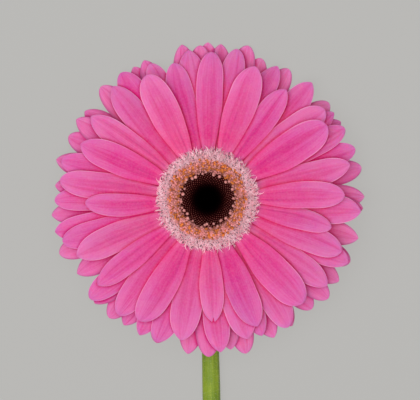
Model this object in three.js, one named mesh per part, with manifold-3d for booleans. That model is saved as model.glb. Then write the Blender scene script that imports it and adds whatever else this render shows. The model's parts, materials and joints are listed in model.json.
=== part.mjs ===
// Cut gerbera laid on a surface: a double flower head that looks up, on a leafless stem that bends under the
// head and runs along the surface.
// Millimetres, +Z up. The origin is the middle of the footprint, on the surface. The stem runs towards -Y.
// In the head's own frame Z is the flower's axis, 0 at the foot of the receptacle, and bearings run clockwise
// from +Y as seen from the front.
import * as THREE from "three";
import { mergeVertices } from "three/addons/utils/BufferGeometryUtils.js";
import Module from "manifold-3d";

const wasm = await Module();
wasm.setup();

const DEG = Math.PI / 180;
const SEAT = 0.3; // between pieces that rest against each other

// Pose of the whole flower.
const FLOWER_LENGTH = 400;
const FACE_TILT = 15 * DEG; // the face looks up, tipped away from the stem
const NECK_BEND = 12; // radius of the stem's centreline where it bends under the head

// Stem.
const STEM_NECK_RADIUS = 3.3;
const STEM_CUT_RADIUS = 3.9;
const STEM_FLARE = 0.7; // added to the radius right under the head
const STEM_FLARE_RUN = 9;
const STEM_BOW = 2.4; // sideways, at half length
const STEM_SIDES = 18;
const STEM_BEND_RINGS = 9;
const STEM_STRAIGHT_RINGS = 22;
const STEM_CUT_SLOPE = 0.45;

// Head.
const HEAD_RADIUS = 55;
const DRUM_RADIUS = 12.5; // side of the receptacle that carries the ray florets
const DRUM_FOOT = 6.3;
const DRUM_TOP = 14.1;
const HEAD_SIDES = 36;
const STEM_TOP_HEIGHT = (1 - Math.sin(FACE_TILT)) * NECK_BEND + STEM_NECK_RADIUS;
const HEAD_HEIGHT = STEM_TOP_HEIGHT + SEAT * Math.cos(FACE_TILT); // of the receptacle's foot over the surface

// Ray florets lie in storeys: curved sheets one over the other that never meet, each drooping a little more
// than the one above.
const RAY_FOOT = DRUM_RADIUS + SEAT;
const RAY_THICKNESS = 0.46;
const STOREY_TOP = 13.3;
const STOREY_PITCH = 0.76;
const RAY_RISE = 0.06; // upward slope of a ray where it leaves the drum
const DROOP_FIRST = 1;
const DROOP_STEP = 0.8;
const FAR_SAG = 6.5; // further droop of the lowest storey where the far rim rests on the surface
const FAR_SPREAD = 90 * DEG;
const CLEAR_ANGLE = 0.8 * DEG; // between rays of one storey
const CLEAR_RADII = [14, 17, 20, 24, 29, 35, 41, 47, 52];
const RAY_ROWS = [0, 0.1, 0.26, 0.44, 0.62, 0.78, 0.9, 1];
const RAY_COLUMNS = [-1, -0.55, 0, 0.55, 1];
const BACK_RAY_COLUMNS = [-1, 0, 1];
const RAY_WAIST = 0.3; // width at the foot as a share of the greatest width
const RAY_SHOULDER = 0.55; // share of the length where the blade is at its widest
const RAY_TIP_START = 0.62;
const RAY_TIP_RUN = 0.39;
const RAY_TIP_POWER = 2.4;
const RAY_SWING = 1.4 * DEG; // sideways curve of a blade at its tip

// Each ray floret: bearing in degrees, reach of the tip from the axis and greatest width in millimetres.
const FRONT_RAYS = [
  [19.5, 50.3, 10.9],
  [34.5, 48.2, 8.8],
  [59, 50, 12.1],
  [87, 48.9, 9.5],
  [102.5, 45.3, 7],
  [137.5, 50.3, 11.9],
  [160, 48.6, 10.3],
  [178.5, 43.6, 7.9],
  [207, 49.6, 10.7],
  [232.5, 49.6, 8.4],
  [247.5, 50.7, 10.2],
  [266.5, 43.6, 7.6],
  [294, 49.3, 10.1],
  [334, 49.3, 11.1],
];
const SECOND_RAYS = [
  [1, 52.8, 9.4],
  [51, 52.8, 10.3],
  [77, 52.5, 9],
  [110.5, 51.4, 9.6],
  [125.5, 52.8, 9],
  [164, 51.8, 10.5],
  [191.5, 51.1, 10.9],
  [219, 52.1, 9.5],
  [252.5, 53.9, 9.2],
  [277.5, 53.2, 9.5],
  [305.5, 51.1, 8.9],
  [318.5, 52.8, 9.5],
  [346, 50.3, 9.3],
];
const THIRD_RAYS = [
  [11.5, 54.6, 8],
  [26, 53.6, 8.8],
  [43, 55.7, 10],
  [54.5, 54.6, 8.4],
  [63, 55, 8.6],
  [70.5, 55.7, 8.8],
  [95, 54.6, 10.6],
  [115, 54.6, 9],
  [145.5, 53.6, 10],
  [158.5, 52.1, 8.8],
  [176, 54.3, 9.4],
  [197.5, 53.6, 9.8],
  [206.5, 53.9, 8.8],
  [230, 54.6, 9.2],
  [256, 55.3, 9.8],
  [271, 54.3, 8.6],
  [286, 53.6, 9],
  [325.5, 54.6, 10],
  [338, 52.5, 8.4],
  [352.5, 53.6, 9.8],
];
const BACK_RAYS = [
  [0.2, 55.7, 8.2],
  [5, 55.3, 8],
  [15, 56.4, 8.2],
  [21, 53.6, 7.6],
  [31.5, 54.6, 8.4],
  [41, 54, 7.6],
  [51.5, 55.3, 8],
  [59.5, 55, 7.6],
  [78.5, 56, 8.6],
  [89, 55.7, 8.4],
  [93.7, 55.2, 8.2],
  [104.5, 55.3, 8.2],
  [113.5, 55.3, 8],
  [122, 55, 8.2],
  [129, 55.3, 8.4],
  [136.5, 53.6, 8.2],
  [146, 54, 7.8],
  [154.5, 54.3, 8],
  [165.5, 56.4, 8.4],
  [171, 53.8, 7.6],
  [180, 55.7, 8.4],
  [187, 55.3, 8.2],
  [199.5, 53.9, 8],
  [213.5, 53.6, 8],
  [220, 54.6, 8],
  [227.5, 54.3, 8],
  [240.5, 53.2, 8.6],
  [250, 56, 8.4],
  [264.5, 55.7, 8.6],
  [275.5, 54.3, 8],
  [285, 55.7, 8.4],
  [294.5, 54.3, 8],
  [301.5, 54.6, 8.4],
  [306, 53.9, 8],
  [317, 55.3, 8.6],
  [331, 53.9, 8],
  [335.5, 54.3, 8],
  [350.5, 55.6, 8.2],
  [357, 54.6, 8],
];
const COLLAR_DEPTH = 2; // ring that joins the feet of the back rays

// Whorls of blades joined at the foot. Paths are [radius, height] from the foot of a blade to its tip.
const BRACT_THICKNESS = 0.6;
const BRACT_NOTCH = 0.45; // share of the path up to which neighbouring bracts are joined
const INNER_BRACTS = 18;
const INNER_BRACT_PATH = [[5, -0.4], [7.2, 0.1], [10.1, 1.9], [12.5, 3.7], [14, 4.7], [15.8, 5.2]];
const OUTER_BRACTS = 16;
const OUTER_BRACT_PATH = [[5.5, -1.5], [7.8, -1], [10.8, 0.8], [13.3, 2.5], [15.3, 3.5], [17.4, 4]];
const STRAP_THICKNESS = 0.42;
const STRAPS = 32;
const STRAP_NOTCH = 0.3;
const STRAP_PATH = [[11, 14.62], [12.2, 14.66], [14, 15.2], [16, 16.2], [17.8, 16.4], [19, 15.9]];
const WHORL_ROWS = [0, 0.15, 0.4, 0.7, 1];
const WHORL_COLUMNS = 4; // along the edge of each blade

// Open disc florets: a ring of pollen-laden anther tubes. Disc buds: the closed florets inside it.
const ANTHER_KNOBS = 28;
const ANTHER_RIPPLE = 0.22;
const ANTHER_NECK = 16; // height over which the tubes stand apart
const ANTHER_PROFILE = [
  [9.3, 14.4], [10.7, 14.4], [11.1, 15.4], [13.1, 16.2], [14, 17],
  [13.4, 17.8], [12.2, 18.3], [10.8, 18], [9.8, 17.4], [9.3, 16.4], [9.3, 14.4],
];
const BUD_SPIRALS = 21;
const BUD_RIPPLE = 0.12;
const BUD_NECK = 15; // height over which the spirals show
const BUD_TWIST = 9 * DEG;
const BUD_PROFILE = [
  [0, 14.4], [8.5, 14.4], [8.9, 15.4], [8.6, 16.5], [7.3, 17.1], [5.5, 17.1], [3.6, 16.6], [1.8, 16.2], [0, 16.1],
];
const RECEPTACLE_PROFILE = [
  [0, 0], [4, 0], [6.4, 0.9], [9.2, 2.8], [11.4, 4.8], [DRUM_RADIUS, DRUM_FOOT],
  [DRUM_RADIUS, DRUM_TOP - 0.4], [DRUM_RADIUS - 0.4, DRUM_TOP], [0, DRUM_TOP],
];

const MATERIALS = {
  stem: finish("stem_green", 0x82963b, 0.7),
  bract: finish("bract_green", 0x6f8a3c, 0.8),
  receptacle: finish("receptacle_pale_green", 0xa9b46e, 0.85),
  front: finish("ray_pink", 0xe0559a, 0.55),
  back: finish("back_ray_pink", 0xc9588f, 0.6),
  strap: finish("trans_floret_pale_pink", 0xe9b3bf, 0.7),
  anther: finish("anther_orange_pink", 0xd98a5c, 0.8),
  bud: finish("disc_bud_maroon", 0x3d0c12, 0.6),
};

function finish(name, color, roughness) {
  const material = new THREE.MeshStandardMaterial({ color, roughness, metalness: 0 });
  material.name = name;
  return material;
}

function solid(name, geometry, material) {
  const mesh = new THREE.Mesh(geometry, material);
  mesh.name = name;
  return mesh;
}

/** Closed geometry from rings of points: each ring joined to the next, the two ends closed by a fan. */
function tube(rings) {
  const sides = rings[0].length;
  const points = rings.flat();
  const index = [];
  for (let i = 0; i + 1 < rings.length; i++) {
    for (let j = 0; j < sides; j++) {
      const next = (j + 1) % sides;
      const [a, b, c, d] = [i * sides + j, i * sides + next, (i + 1) * sides + next, (i + 1) * sides + j];
      index.push(a, b, c, a, c, d);
    }
  }
  for (const [ring, outward] of [[0, false], [rings.length - 1, true]]) {
    const centre = points.length;
    points.push(rings[ring].reduce((sum, p) => sum.add(p), new THREE.Vector3()).divideScalar(sides));
    for (let j = 0; j < sides; j++) {
      const [a, b] = [ring * sides + j, ring * sides + ((j + 1) % sides)];
      index.push(...(outward ? [centre, a, b] : [centre, b, a]));
    }
  }
  const geometry = new THREE.BufferGeometry().setFromPoints(points);
  geometry.setIndex(index);
  return geometry;
}

/**
 * Closed geometry of a thin blade: two sheets a little apart that meet all round the edge. middle(i, j) is a
 * point between the sheets and half(i, j) half the thickness there; wrapped sheets close round the head.
 */
function blade(rows, columns, wrapped, middle, half) {
  const points = [];
  const index = [];
  for (const side of [1, -1]) {
    const first = points.length;
    for (let i = 0; i < rows; i++) {
      for (let j = 0; j < columns; j++) {
        const lift = half(i, j) * side;
        points.push(middle(i, j).add(new THREE.Vector3(0, 0, lift)));
      }
    }
    for (let i = 0; i + 1 < rows; i++) {
      for (let j = 0; j < columns - (wrapped ? 0 : 1); j++) {
        const next = (j + 1) % columns;
        const [a, b] = [first + i * columns + j, first + (i + 1) * columns + j];
        const [c, d] = [first + (i + 1) * columns + next, first + i * columns + next];
        index.push(...(side > 0 ? [a, c, b, a, d, c] : [a, b, c, a, c, d]));
      }
    }
  }
  const geometry = new THREE.BufferGeometry().setFromPoints(points);
  geometry.setIndex(index);
  return mergeVertices(geometry, 1e-4);
}

/** Point of the head's frame at a radius, bearing and height. */
function polar(radius, bearing, height) {
  return new THREE.Vector3(radius * Math.sin(bearing), radius * Math.cos(bearing), height);
}

/** Solid of revolution about the head's axis; reshape(radius, height, bearing) may displace its surface. */
function revolved(profile, sides, reshape) {
  const outline = profile.map(([radius, height]) => new THREE.Vector2(radius, height));
  const geometry = new THREE.LatheGeometry(outline, sides);
  geometry.deleteAttribute("normal");
  geometry.deleteAttribute("uv");
  geometry.rotateX(Math.PI / 2);
  const position = geometry.getAttribute("position");
  for (let i = 0; reshape && i < position.count; i++) {
    const [x, y, height] = [position.getX(i), position.getY(i), position.getZ(i)];
    const point = reshape(Math.hypot(x, y), height, Math.atan2(x, y));
    position.setXYZ(i, point.x, point.y, point.z);
  }
  return geometry;
}

/** Radius of the stem at a distance along it from the head. */
function stemRadius(distance) {
  const taper = STEM_NECK_RADIUS + ((STEM_CUT_RADIUS - STEM_NECK_RADIUS) * distance) / FLOWER_LENGTH;
  const flare = Math.max(0, 1 - distance / STEM_FLARE_RUN);
  return taper + STEM_FLARE * flare * flare;
}

/** Stations of the stem from the head to the cut: centre, direction and radius. */
function stemStations() {
  const stations = [];
  for (let i = 0; i < STEM_BEND_RINGS; i++) {
    const turn = FACE_TILT + ((Math.PI / 2 - FACE_TILT) * i) / STEM_BEND_RINGS;
    const radius = stemRadius((turn - FACE_TILT) * NECK_BEND);
    const y = -NECK_BEND * (Math.cos(FACE_TILT) - Math.cos(turn));
    const z = STEM_TOP_HEIGHT - NECK_BEND * (Math.sin(turn) - Math.sin(FACE_TILT));
    const direction = new THREE.Vector3(0, -Math.sin(turn), -Math.cos(turn));
    stations.push({ centre: new THREE.Vector3(0, y, z), direction, radius });
  }
  const start = -NECK_BEND * Math.cos(FACE_TILT);
  const run = FLOWER_LENGTH - HEAD_RADIUS + start;
  for (let i = 0; i <= STEM_STRAIGHT_RINGS; i++) {
    const share = i / STEM_STRAIGHT_RINGS;
    const radius = stemRadius(NECK_BEND * (Math.PI / 2 - FACE_TILT) + run * share);
    const centre = new THREE.Vector3(STEM_BOW * Math.sin(Math.PI * share), start - run * share, radius);
    const lean = (STEM_BOW * Math.PI * Math.cos(Math.PI * share)) / run;
    stations.push({ centre, direction: new THREE.Vector3(lean, -1, 0).normalize(), radius });
  }
  return stations;
}

function stemGeometry() {
  const up = new THREE.Vector3(0, 0, 1);
  const stations = stemStations();
  const rings = stations.map(({ centre, direction, radius }, station) => {
    const side = new THREE.Vector3().crossVectors(direction, up).normalize();
    const top = new THREE.Vector3().crossVectors(side, direction);
    const slope = station === stations.length - 1 ? STEM_CUT_SLOPE : 0;
    return Array.from({ length: STEM_SIDES }, (_, j) => {
      const angle = (2 * Math.PI * j) / STEM_SIDES - Math.PI / 2;
      const [across, above] = [radius * Math.cos(angle), radius * Math.sin(angle)];
      return centre.clone()
        .addScaledVector(side, -across)
        .addScaledVector(top, above)
        .addScaledVector(direction, slope * above);
    });
  });
  return tube(rings);
}

/** Half the width of a ray at a share of its length, as a share of its greatest half width. */
function outline(share) {
  const body = RAY_WAIST + (1 - RAY_WAIST) * Math.sin((Math.min(share / RAY_SHOULDER, 1) * Math.PI) / 2);
  const past = Math.max(0, (share - RAY_TIP_START) / RAY_TIP_RUN);
  return body * Math.sqrt(1 - past ** RAY_TIP_POWER);
}

/** Bearings from one edge of a ray to the other at a radius. */
function edges(ray, radius) {
  const share = (radius - RAY_FOOT) / (ray.reach - RAY_FOOT);
  const middle = ray.bearing + ray.swing * share * share;
  const spread = Math.asin((outline(share) * ray.width) / 2 / radius);
  return [middle - spread, middle + spread];
}

function clears(ray, other) {
  const shortest = Math.min(ray.reach, other.reach);
  return CLEAR_RADII.filter((radius) => radius < shortest).every((radius) => {
    const [low, high] = edges(ray, radius);
    const [otherLow, otherHigh] = edges(other, radius);
    const apart = THREE.MathUtils.euclideanModulo(
      (otherLow + otherHigh - low - high) / 2 + Math.PI, 2 * Math.PI,
    ) - Math.PI;
    return Math.abs(apart) >= (high - low + otherHigh - otherLow) / 2 + CLEAR_ANGLE;
  });
}

/**
 * Rays of one row, each on the first storey of the row where it clears the rays already there. Storeys fill
 * from the top, or from the bottom in the back row, which rests on the surface.
 */
function row(list, firstStorey, fromBelow) {
  const storeys = [];
  const rays = list.map(([bearing, reach, width], number) => {
    const ray = { bearing: bearing * DEG, reach, width, swing: RAY_SWING * Math.sin(number * number) };
    let storey = storeys.findIndex((placed) => placed.every((other) => clears(ray, other)));
    if (storey < 0) {
      storey = storeys.push([]) - 1;
    }
    storeys[storey].push(ray);
    return ray;
  });
  storeys.forEach((placed, storey) => {
    const level = fromBelow ? storeys.length - 1 - storey : storey;
    placed.forEach((ray) => {
      ray.storey = firstStorey + level;
    });
  });
  return { rays, next: firstStorey + storeys.length };
}

/** Height in the head's frame of the surface the flower lies on. */
function ground(radius, bearing) {
  return (radius * Math.cos(bearing) * Math.sin(FACE_TILT) - HEAD_HEIGHT) / Math.cos(FACE_TILT);
}

/** Height of a storey of rays: it droops outwards, more at the far rim, until it rests on the surface. */
function storeyHeight(storey, lastStorey, radius, bearing) {
  const run = (radius - RAY_FOOT) / (HEAD_RADIUS - RAY_FOOT);
  const turned = Math.abs(THREE.MathUtils.euclideanModulo(bearing + Math.PI, 2 * Math.PI) - Math.PI);
  const far = turned < FAR_SPREAD ? Math.cos((turned / FAR_SPREAD) * Math.PI) / 2 + 0.5 : 0;
  const droop = DROOP_FIRST + DROOP_STEP * storey + (FAR_SAG * Math.sqrt(far) * storey) / lastStorey;
  const free = STOREY_TOP - STOREY_PITCH * storey + RAY_RISE * (radius - RAY_FOOT) - droop * run * run;
  const resting = ground(radius, bearing) + RAY_THICKNESS / 2 + STOREY_PITCH * (lastStorey - storey);
  return Math.max(free, resting);
}

function rayGeometry(ray, lastStorey, columns) {
  const middle = (i, j) => {
    const along = RAY_FOOT + (ray.reach - RAY_FOOT) * RAY_ROWS[i];
    const bearing = ray.bearing + ray.swing * RAY_ROWS[i] * RAY_ROWS[i];
    const across = (columns[j] * outline(RAY_ROWS[i]) * ray.width) / 2;
    const point = polar(along, bearing, 0).add(polar(across, bearing + Math.PI / 2, 0));
    const turned = Math.atan2(point.x, point.y);
    point.z = storeyHeight(ray.storey, lastStorey, Math.hypot(point.x, point.y), turned);
    return point;
  };
  const half = (i, j) => {
    const inside = i > 0 && i < RAY_ROWS.length - 1;
    return inside ? (RAY_THICKNESS / 2) * (1 - columns[j] ** 2) : 0;
  };
  return blade(RAY_ROWS.length, columns.length, false, middle, half);
}

/** Whorl of pointed blades joined at the foot, along a path of [radius, height]. */
function whorlGeometry(path, blades, notch, thickness) {
  const curve = new THREE.SplineCurve(path.map(([radius, height]) => new THREE.Vector2(radius, height)));
  const columns = blades * WHORL_COLUMNS;
  const middle = (i, j) => {
    const tooth = Math.sqrt(Math.sin((Math.PI * (j % WHORL_COLUMNS)) / WHORL_COLUMNS));
    const end = notch + (1 - notch) * tooth;
    const at = curve.getPoint(WHORL_ROWS[i] * end);
    return polar(at.x, (2 * Math.PI * j) / columns, at.y);
  };
  const half = (i) => (i > 0 && i < WHORL_ROWS.length - 1 ? thickness / 2 : 0);
  return blade(WHORL_ROWS.length, columns, true, middle, half);
}

function antherShape(radius, height, bearing) {
  const knob = Math.cos(ANTHER_KNOBS * bearing) * (height > ANTHER_NECK ? ANTHER_RIPPLE : 0);
  return polar(radius + knob, bearing, height + knob);
}

function budShape(radius, height, bearing) {
  const twist = (BUD_TWIST * radius) / 2;
  const ripple = height > BUD_NECK && radius > 1 ? BUD_RIPPLE * Math.cos(BUD_SPIRALS * bearing) : 0;
  return polar(radius, bearing + twist, height + ripple);
}

function toManifold(geometry) {
  const merged = mergeVertices(geometry, 1e-4);
  return new wasm.Manifold(new wasm.Mesh({
    numProp: 3,
    vertProperties: new Float32Array(merged.getAttribute("position").array),
    triVerts: new Uint32Array(merged.getIndex().array),
  }));
}

function fromManifold(body) {
  const mesh = body.getMesh();
  const geometry = new THREE.BufferGeometry();
  geometry.setAttribute("position", new THREE.BufferAttribute(new Float32Array(mesh.vertProperties), 3));
  geometry.setIndex([...mesh.triVerts]);
  return geometry;
}

/** The back rays and the collar that joins their feet, as one body. */
function backRaysGeometry(rays, lastStorey) {
  const highest = Math.min(...rays.map((ray) => ray.storey));
  const top = STOREY_TOP - STOREY_PITCH * highest + RAY_THICKNESS / 2;
  const foot = STOREY_TOP - STOREY_PITCH * lastStorey - RAY_THICKNESS / 2;
  const section = [
    [RAY_FOOT, foot], [RAY_FOOT + COLLAR_DEPTH, foot], [RAY_FOOT + COLLAR_DEPTH, top], [RAY_FOOT, top],
    [RAY_FOOT, foot],
  ];
  const collar = toManifold(revolved(section, HEAD_SIDES));
  const blades = rays.map((ray) => toManifold(rayGeometry(ray, lastStorey, BACK_RAY_COLUMNS)));
  return fromManifold(blades.reduce((joined, next) => joined.add(next), collar));
}

function rayMeshes(prefix, rays, lastStorey) {
  return rays.map((ray, number) => {
    const name = `${prefix}_${String(number + 1).padStart(2, "0")}`;
    return solid(name, rayGeometry(ray, lastStorey, RAY_COLUMNS), MATERIALS.front);
  });
}

function headGroup() {
  const front = row(FRONT_RAYS, 0, false);
  const second = row(SECOND_RAYS, front.next, false);
  const third = row(THIRD_RAYS, second.next, false);
  const back = row(BACK_RAYS, third.next, true);
  const lastStorey = back.next - 1;
  const innerBracts = whorlGeometry(INNER_BRACT_PATH, INNER_BRACTS, BRACT_NOTCH, BRACT_THICKNESS);
  const outerBracts = whorlGeometry(OUTER_BRACT_PATH, OUTER_BRACTS, BRACT_NOTCH, BRACT_THICKNESS);
  const straps = whorlGeometry(STRAP_PATH, STRAPS, STRAP_NOTCH, STRAP_THICKNESS);
  const head = new THREE.Group();
  head.name = "head";
  head.add(
    solid("receptacle", revolved(RECEPTACLE_PROFILE, HEAD_SIDES), MATERIALS.receptacle),
    solid("inner_bracts", innerBracts, MATERIALS.bract),
    solid("outer_bracts", outerBracts, MATERIALS.bract),
    solid("back_rays", backRaysGeometry(back.rays, lastStorey), MATERIALS.back),
    ...rayMeshes("third_ray", third.rays, lastStorey),
    ...rayMeshes("second_ray", second.rays, lastStorey),
    ...rayMeshes("front_ray", front.rays, lastStorey),
    solid("trans_florets", straps, MATERIALS.strap),
    solid("open_disc_florets", revolved(ANTHER_PROFILE, ANTHER_KNOBS * 3, antherShape), MATERIALS.anther),
    solid("disc_buds", revolved(BUD_PROFILE, BUD_SPIRALS * 2, budShape), MATERIALS.bud),
  );
  head.position.z = HEAD_HEIGHT;
  head.position.y = SEAT * Math.sin(FACE_TILT);
  head.rotation.x = -FACE_TILT;
  return head;
}

/** Moves the flower so that the middle of its footprint is at the origin. */
function centred(flower) {
  flower.updateMatrixWorld(true);
  const middle = new THREE.Box3().setFromObject(flower, true).getCenter(new THREE.Vector3());
  flower.position.set(-middle.x, -middle.y, 0);
  return flower;
}

const flower = new THREE.Group();
flower.name = "flower";
flower.add(solid("stem", stemGeometry(), MATERIALS.stem), headGroup());

const group = new THREE.Group();
group.name = "cut_gerbera";
group.add(centred(flower));
export default group;
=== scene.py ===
"""Looks of a cut gerbera that lies on a surface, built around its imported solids.

The head is a capitulum: closed buds in the middle, a ring of open disc florets with pollen, a fringe of pale
trans florets and four rows of ray florets, all carried by a receptacle that two whorls of bracts wrap. The
stem is hairy, bends under the head and lies on the surface. Lengths are metres unless a name ends in _mm.
"""

from __future__ import annotations

import json
import logging
import math
from dataclasses import dataclass, field
from enum import Enum
from typing import Mapping, Sequence

import bpy
import numpy as np
from mathutils import Matrix, Vector

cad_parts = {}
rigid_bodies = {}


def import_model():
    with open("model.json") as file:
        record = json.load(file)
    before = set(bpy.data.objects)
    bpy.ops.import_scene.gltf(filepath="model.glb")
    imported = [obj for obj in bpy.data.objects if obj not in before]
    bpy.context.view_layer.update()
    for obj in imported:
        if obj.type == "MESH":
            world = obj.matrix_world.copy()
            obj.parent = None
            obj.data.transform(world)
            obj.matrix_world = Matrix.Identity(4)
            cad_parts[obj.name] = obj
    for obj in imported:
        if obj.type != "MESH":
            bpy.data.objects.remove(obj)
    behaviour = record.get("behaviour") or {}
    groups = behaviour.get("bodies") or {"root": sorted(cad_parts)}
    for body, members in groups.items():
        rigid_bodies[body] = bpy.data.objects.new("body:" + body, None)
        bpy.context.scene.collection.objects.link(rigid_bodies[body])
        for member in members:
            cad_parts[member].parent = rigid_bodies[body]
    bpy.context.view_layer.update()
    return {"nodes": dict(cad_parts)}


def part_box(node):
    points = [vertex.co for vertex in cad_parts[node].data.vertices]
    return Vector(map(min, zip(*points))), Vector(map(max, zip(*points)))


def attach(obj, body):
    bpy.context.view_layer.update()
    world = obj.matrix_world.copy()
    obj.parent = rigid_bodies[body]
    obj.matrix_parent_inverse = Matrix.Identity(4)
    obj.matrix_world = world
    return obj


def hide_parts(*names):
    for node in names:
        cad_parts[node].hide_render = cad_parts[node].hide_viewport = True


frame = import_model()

LOG = logging.getLogger("cut_gerbera")
MM = 0.001
BODY = "root"
GOLDEN_TURN = 137.50776  # degrees between one floret of a capitulum and the next
CREASE = math.radians(100.0)  # two faces that meet at more than this are shaded apart
POINT_RADIUS = 0.1 * MM  # of the points that florets stand on; it isn't seen
CLEARANCE = 0.02 * MM  # nothing of the flower comes closer to the surface
FACE_TILT = math.radians(15.0)  # the head's axis leans this far from vertical, away from the stem

Array = np.ndarray
Socket = bpy.types.NodeSocket
Inputs = Mapping[str | int, object]
Profile = Sequence[tuple[float, float]]


# ---------------------------------------------------------------------------------------------- node helpers
def linear(colour: str) -> tuple[float, float, float, float]:
    """Turns an sRGB hex colour into linear light.

    Args:
        colour: Six hex digits with a leading hash.

    Returns:
        Red, green, blue and an alpha of 1.
    """
    parts = [int(colour[i : i + 2], 16) / 255 for i in (1, 3, 5)]
    red, green, blue = (p / 12.92 if p <= 0.04045 else ((p + 0.055) / 1.055) ** 2.4 for p in parts)
    return red, green, blue, 1.0


def set_inputs(tree: bpy.types.NodeTree, node: bpy.types.Node, inputs: Inputs) -> None:
    """Fills sockets of a node.

    Args:
        tree: Tree of the node.
        node: Node to fill.
        inputs: Socket name or number to a value, a hex colour or the output socket that feeds it.
    """
    for key, value in inputs.items():
        if isinstance(value, bpy.types.NodeSocket):
            tree.links.new(value, node.inputs[key])
        else:
            coloured = isinstance(value, str) and value.startswith("#")
            node.inputs[key].default_value = linear(value) if coloured else value


def add_node(
    tree: bpy.types.NodeTree, kind: str, inputs: Inputs | None = None, **settings: object
) -> bpy.types.Node:
    """Adds a node with its settings, values and links.

    Args:
        tree: Node tree that gets the node.
        kind: Blender's name for the node's type.
        inputs: What set_inputs puts into its sockets.
        **settings: Properties of the node itself.

    Returns:
        The new node.
    """
    made = tree.nodes.new(kind)
    for name, value in settings.items():
        setattr(made, name, value)
    set_inputs(tree, made, inputs or {})
    return made


@dataclass
class Nodes:
    """Adds nodes to one tree, and hands back the socket that the next node needs."""

    tree: bpy.types.NodeTree

    def out(
        self, kind: str, inputs: Inputs | None = None, output: str | int = 0, **settings: object
    ) -> Socket:
        """Adds a node.

        Args:
            kind: Blender's name for the node's type.
            inputs: What set_inputs puts into its sockets.
            output: Name or number of the output to hand back.
            **settings: Properties of the node itself.

        Returns:
            The output socket.
        """
        return add_node(self.tree, kind, inputs, **settings).outputs[output]

    def attributes(self, *names: str) -> list[Socket]:
        """Numbers that the mesh carries on its points."""
        return [self.out("ShaderNodeAttribute", None, "Fac", attribute_name=name) for name in names]

    def math(self, operation: str, *values: Socket | float) -> Socket:
        """Result of one sum on up to three values."""
        return self.out("ShaderNodeMath", dict(enumerate(values)), operation=operation)

    def times(self, *values: Socket | float) -> Socket:
        """Product of two values."""
        return self.math("MULTIPLY", *values)

    def span(self, value: Socket, *limits: Socket | float) -> Socket:
        """Carries a value from the range of the first two limits, 0 to 1 unless given, to the last two."""
        return self.out("ShaderNodeMapRange", dict(enumerate((value, *limits))))

    def spread(self, value: Socket, start: Socket | float, end: Socket | float) -> Socket:
        """Carries a value from the range of 0 to 1 to another."""
        return self.span(value, 0.0, 1.0, start, end)

    def vector(self, *parts: Socket | float) -> Socket:
        """Vector of three numbers."""
        return self.out("ShaderNodeCombineXYZ", dict(enumerate(parts)))

    def blend(self, share: Socket, below: Socket | str, above: Socket | str) -> Socket:
        """Colour that lies a share of the way from one to another."""
        return self.out("ShaderNodeMix", {0: share, 6: below, 7: above}, 2, data_type="RGBA")

    def ramp(self, share: Socket, *stops: tuple[float, str]) -> Socket:
        """Reads a colour ramp.

        Args:
            share: Where to read it.
            *stops: Position and hex colour of each stop, in order.

        Returns:
            The colour.
        """
        made = add_node(self.tree, "ShaderNodeValToRGB", {"Fac": share})
        elements = made.color_ramp.elements
        while len(elements) < len(stops):
            elements.new(1.0)
        for element, (position, colour) in zip(elements, stops):
            element.position = position
            element.color = linear(colour)
        return made.outputs["Color"]

    def noise(self, place: Socket, scale: float, detail: float = 2.0, roughness: float = 0.5) -> Socket:
        """Cloudy noise between 0 and 1."""
        given = {"Vector": place, "Scale": scale, "Detail": detail, "Roughness": roughness}
        return self.out("ShaderNodeTexNoise", given, "Fac")

    def grain(self, size_mm: float, detail: float = 2.0) -> Socket:
        """Noise of a real size that stays with the piece."""
        return self.noise(self.out("ShaderNodeTexCoord", None, "Object"), 1 / (size_mm * MM), detail)

    def toned(self, colour: Socket | str, value: Socket, **more: Socket) -> Socket:
        """Colour made darker or lighter, and turned in hue or saturation if told to."""
        return self.out("ShaderNodeHueSaturation", {"Color": colour, "Value": value, **more})

    def bump(self, height: Socket, strength: float, depth_mm: float) -> Socket:
        """Relief of a real depth, for the shader's normal."""
        given = {"Height": height, "Strength": strength, "Distance": depth_mm * MM}
        return self.out("ShaderNodeBump", given, "Normal")

    def random(self, kind: str, low: object, high: object, **more: object) -> Socket:
        """Draws a number or vector for each element.

        Args:
            kind: FLOAT_VECTOR, FLOAT or INT.
            low: Lowest value.
            high: Highest value.
            **more: The sockets ID and Seed.

        Returns:
            The draw.
        """
        at = ("FLOAT_VECTOR", "FLOAT", "INT").index(kind)
        given = {2 * at: low, 2 * at + 1: high, **more}
        return self.out("FunctionNodeRandomValue", given, at, data_type=kind)

    def store(self, geometry: Socket, name: str, value: Socket) -> Socket:
        """Keeps a number with each instance."""
        given = {"Geometry": geometry, "Name": name, "Value": value}
        return self.out("GeometryNodeStoreNamedAttribute", given, data_type="FLOAT", domain="INSTANCE")

    def finish(self, geometry: Socket, material: bpy.types.Material) -> None:
        """Makes instances real, gives them their material and ends the tree."""
        real = self.out("GeometryNodeRealizeInstances", {"Geometry": geometry})
        done = self.out("GeometryNodeSetMaterial", {"Geometry": real, "Material": material})
        add_node(self.tree, "NodeGroupOutput", {"Geometry": done})


def new_growth(
    name: str, values: Mapping[str, float | int], fed: bool = False
) -> tuple[Nodes, Mapping[str, Socket]]:
    """Starts a Geometry Nodes tree with named inputs.

    Args:
        name: Name of the tree.
        values: Named inputs and what will be put into them; whole numbers get a whole-number socket.
        fed: Whether it starts from a mesh. That input has to come first.

    Returns:
        The tree's helper, and its inputs by name.
    """
    tree = bpy.data.node_groups.new(name, "GeometryNodeTree")
    sockets = [("Geometry", "INPUT", "Geometry")] if fed else []
    for title, value in values.items():
        sockets.append((title, "INPUT", "Int" if isinstance(value, int) else "Float"))
    for title, way, kind in [*sockets, ("Geometry", "OUTPUT", "Geometry")]:
        tree.interface.new_socket(title, in_out=way, socket_type=f"NodeSocket{kind}")
    return Nodes(tree), add_node(tree, "NodeGroupInput").outputs


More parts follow.
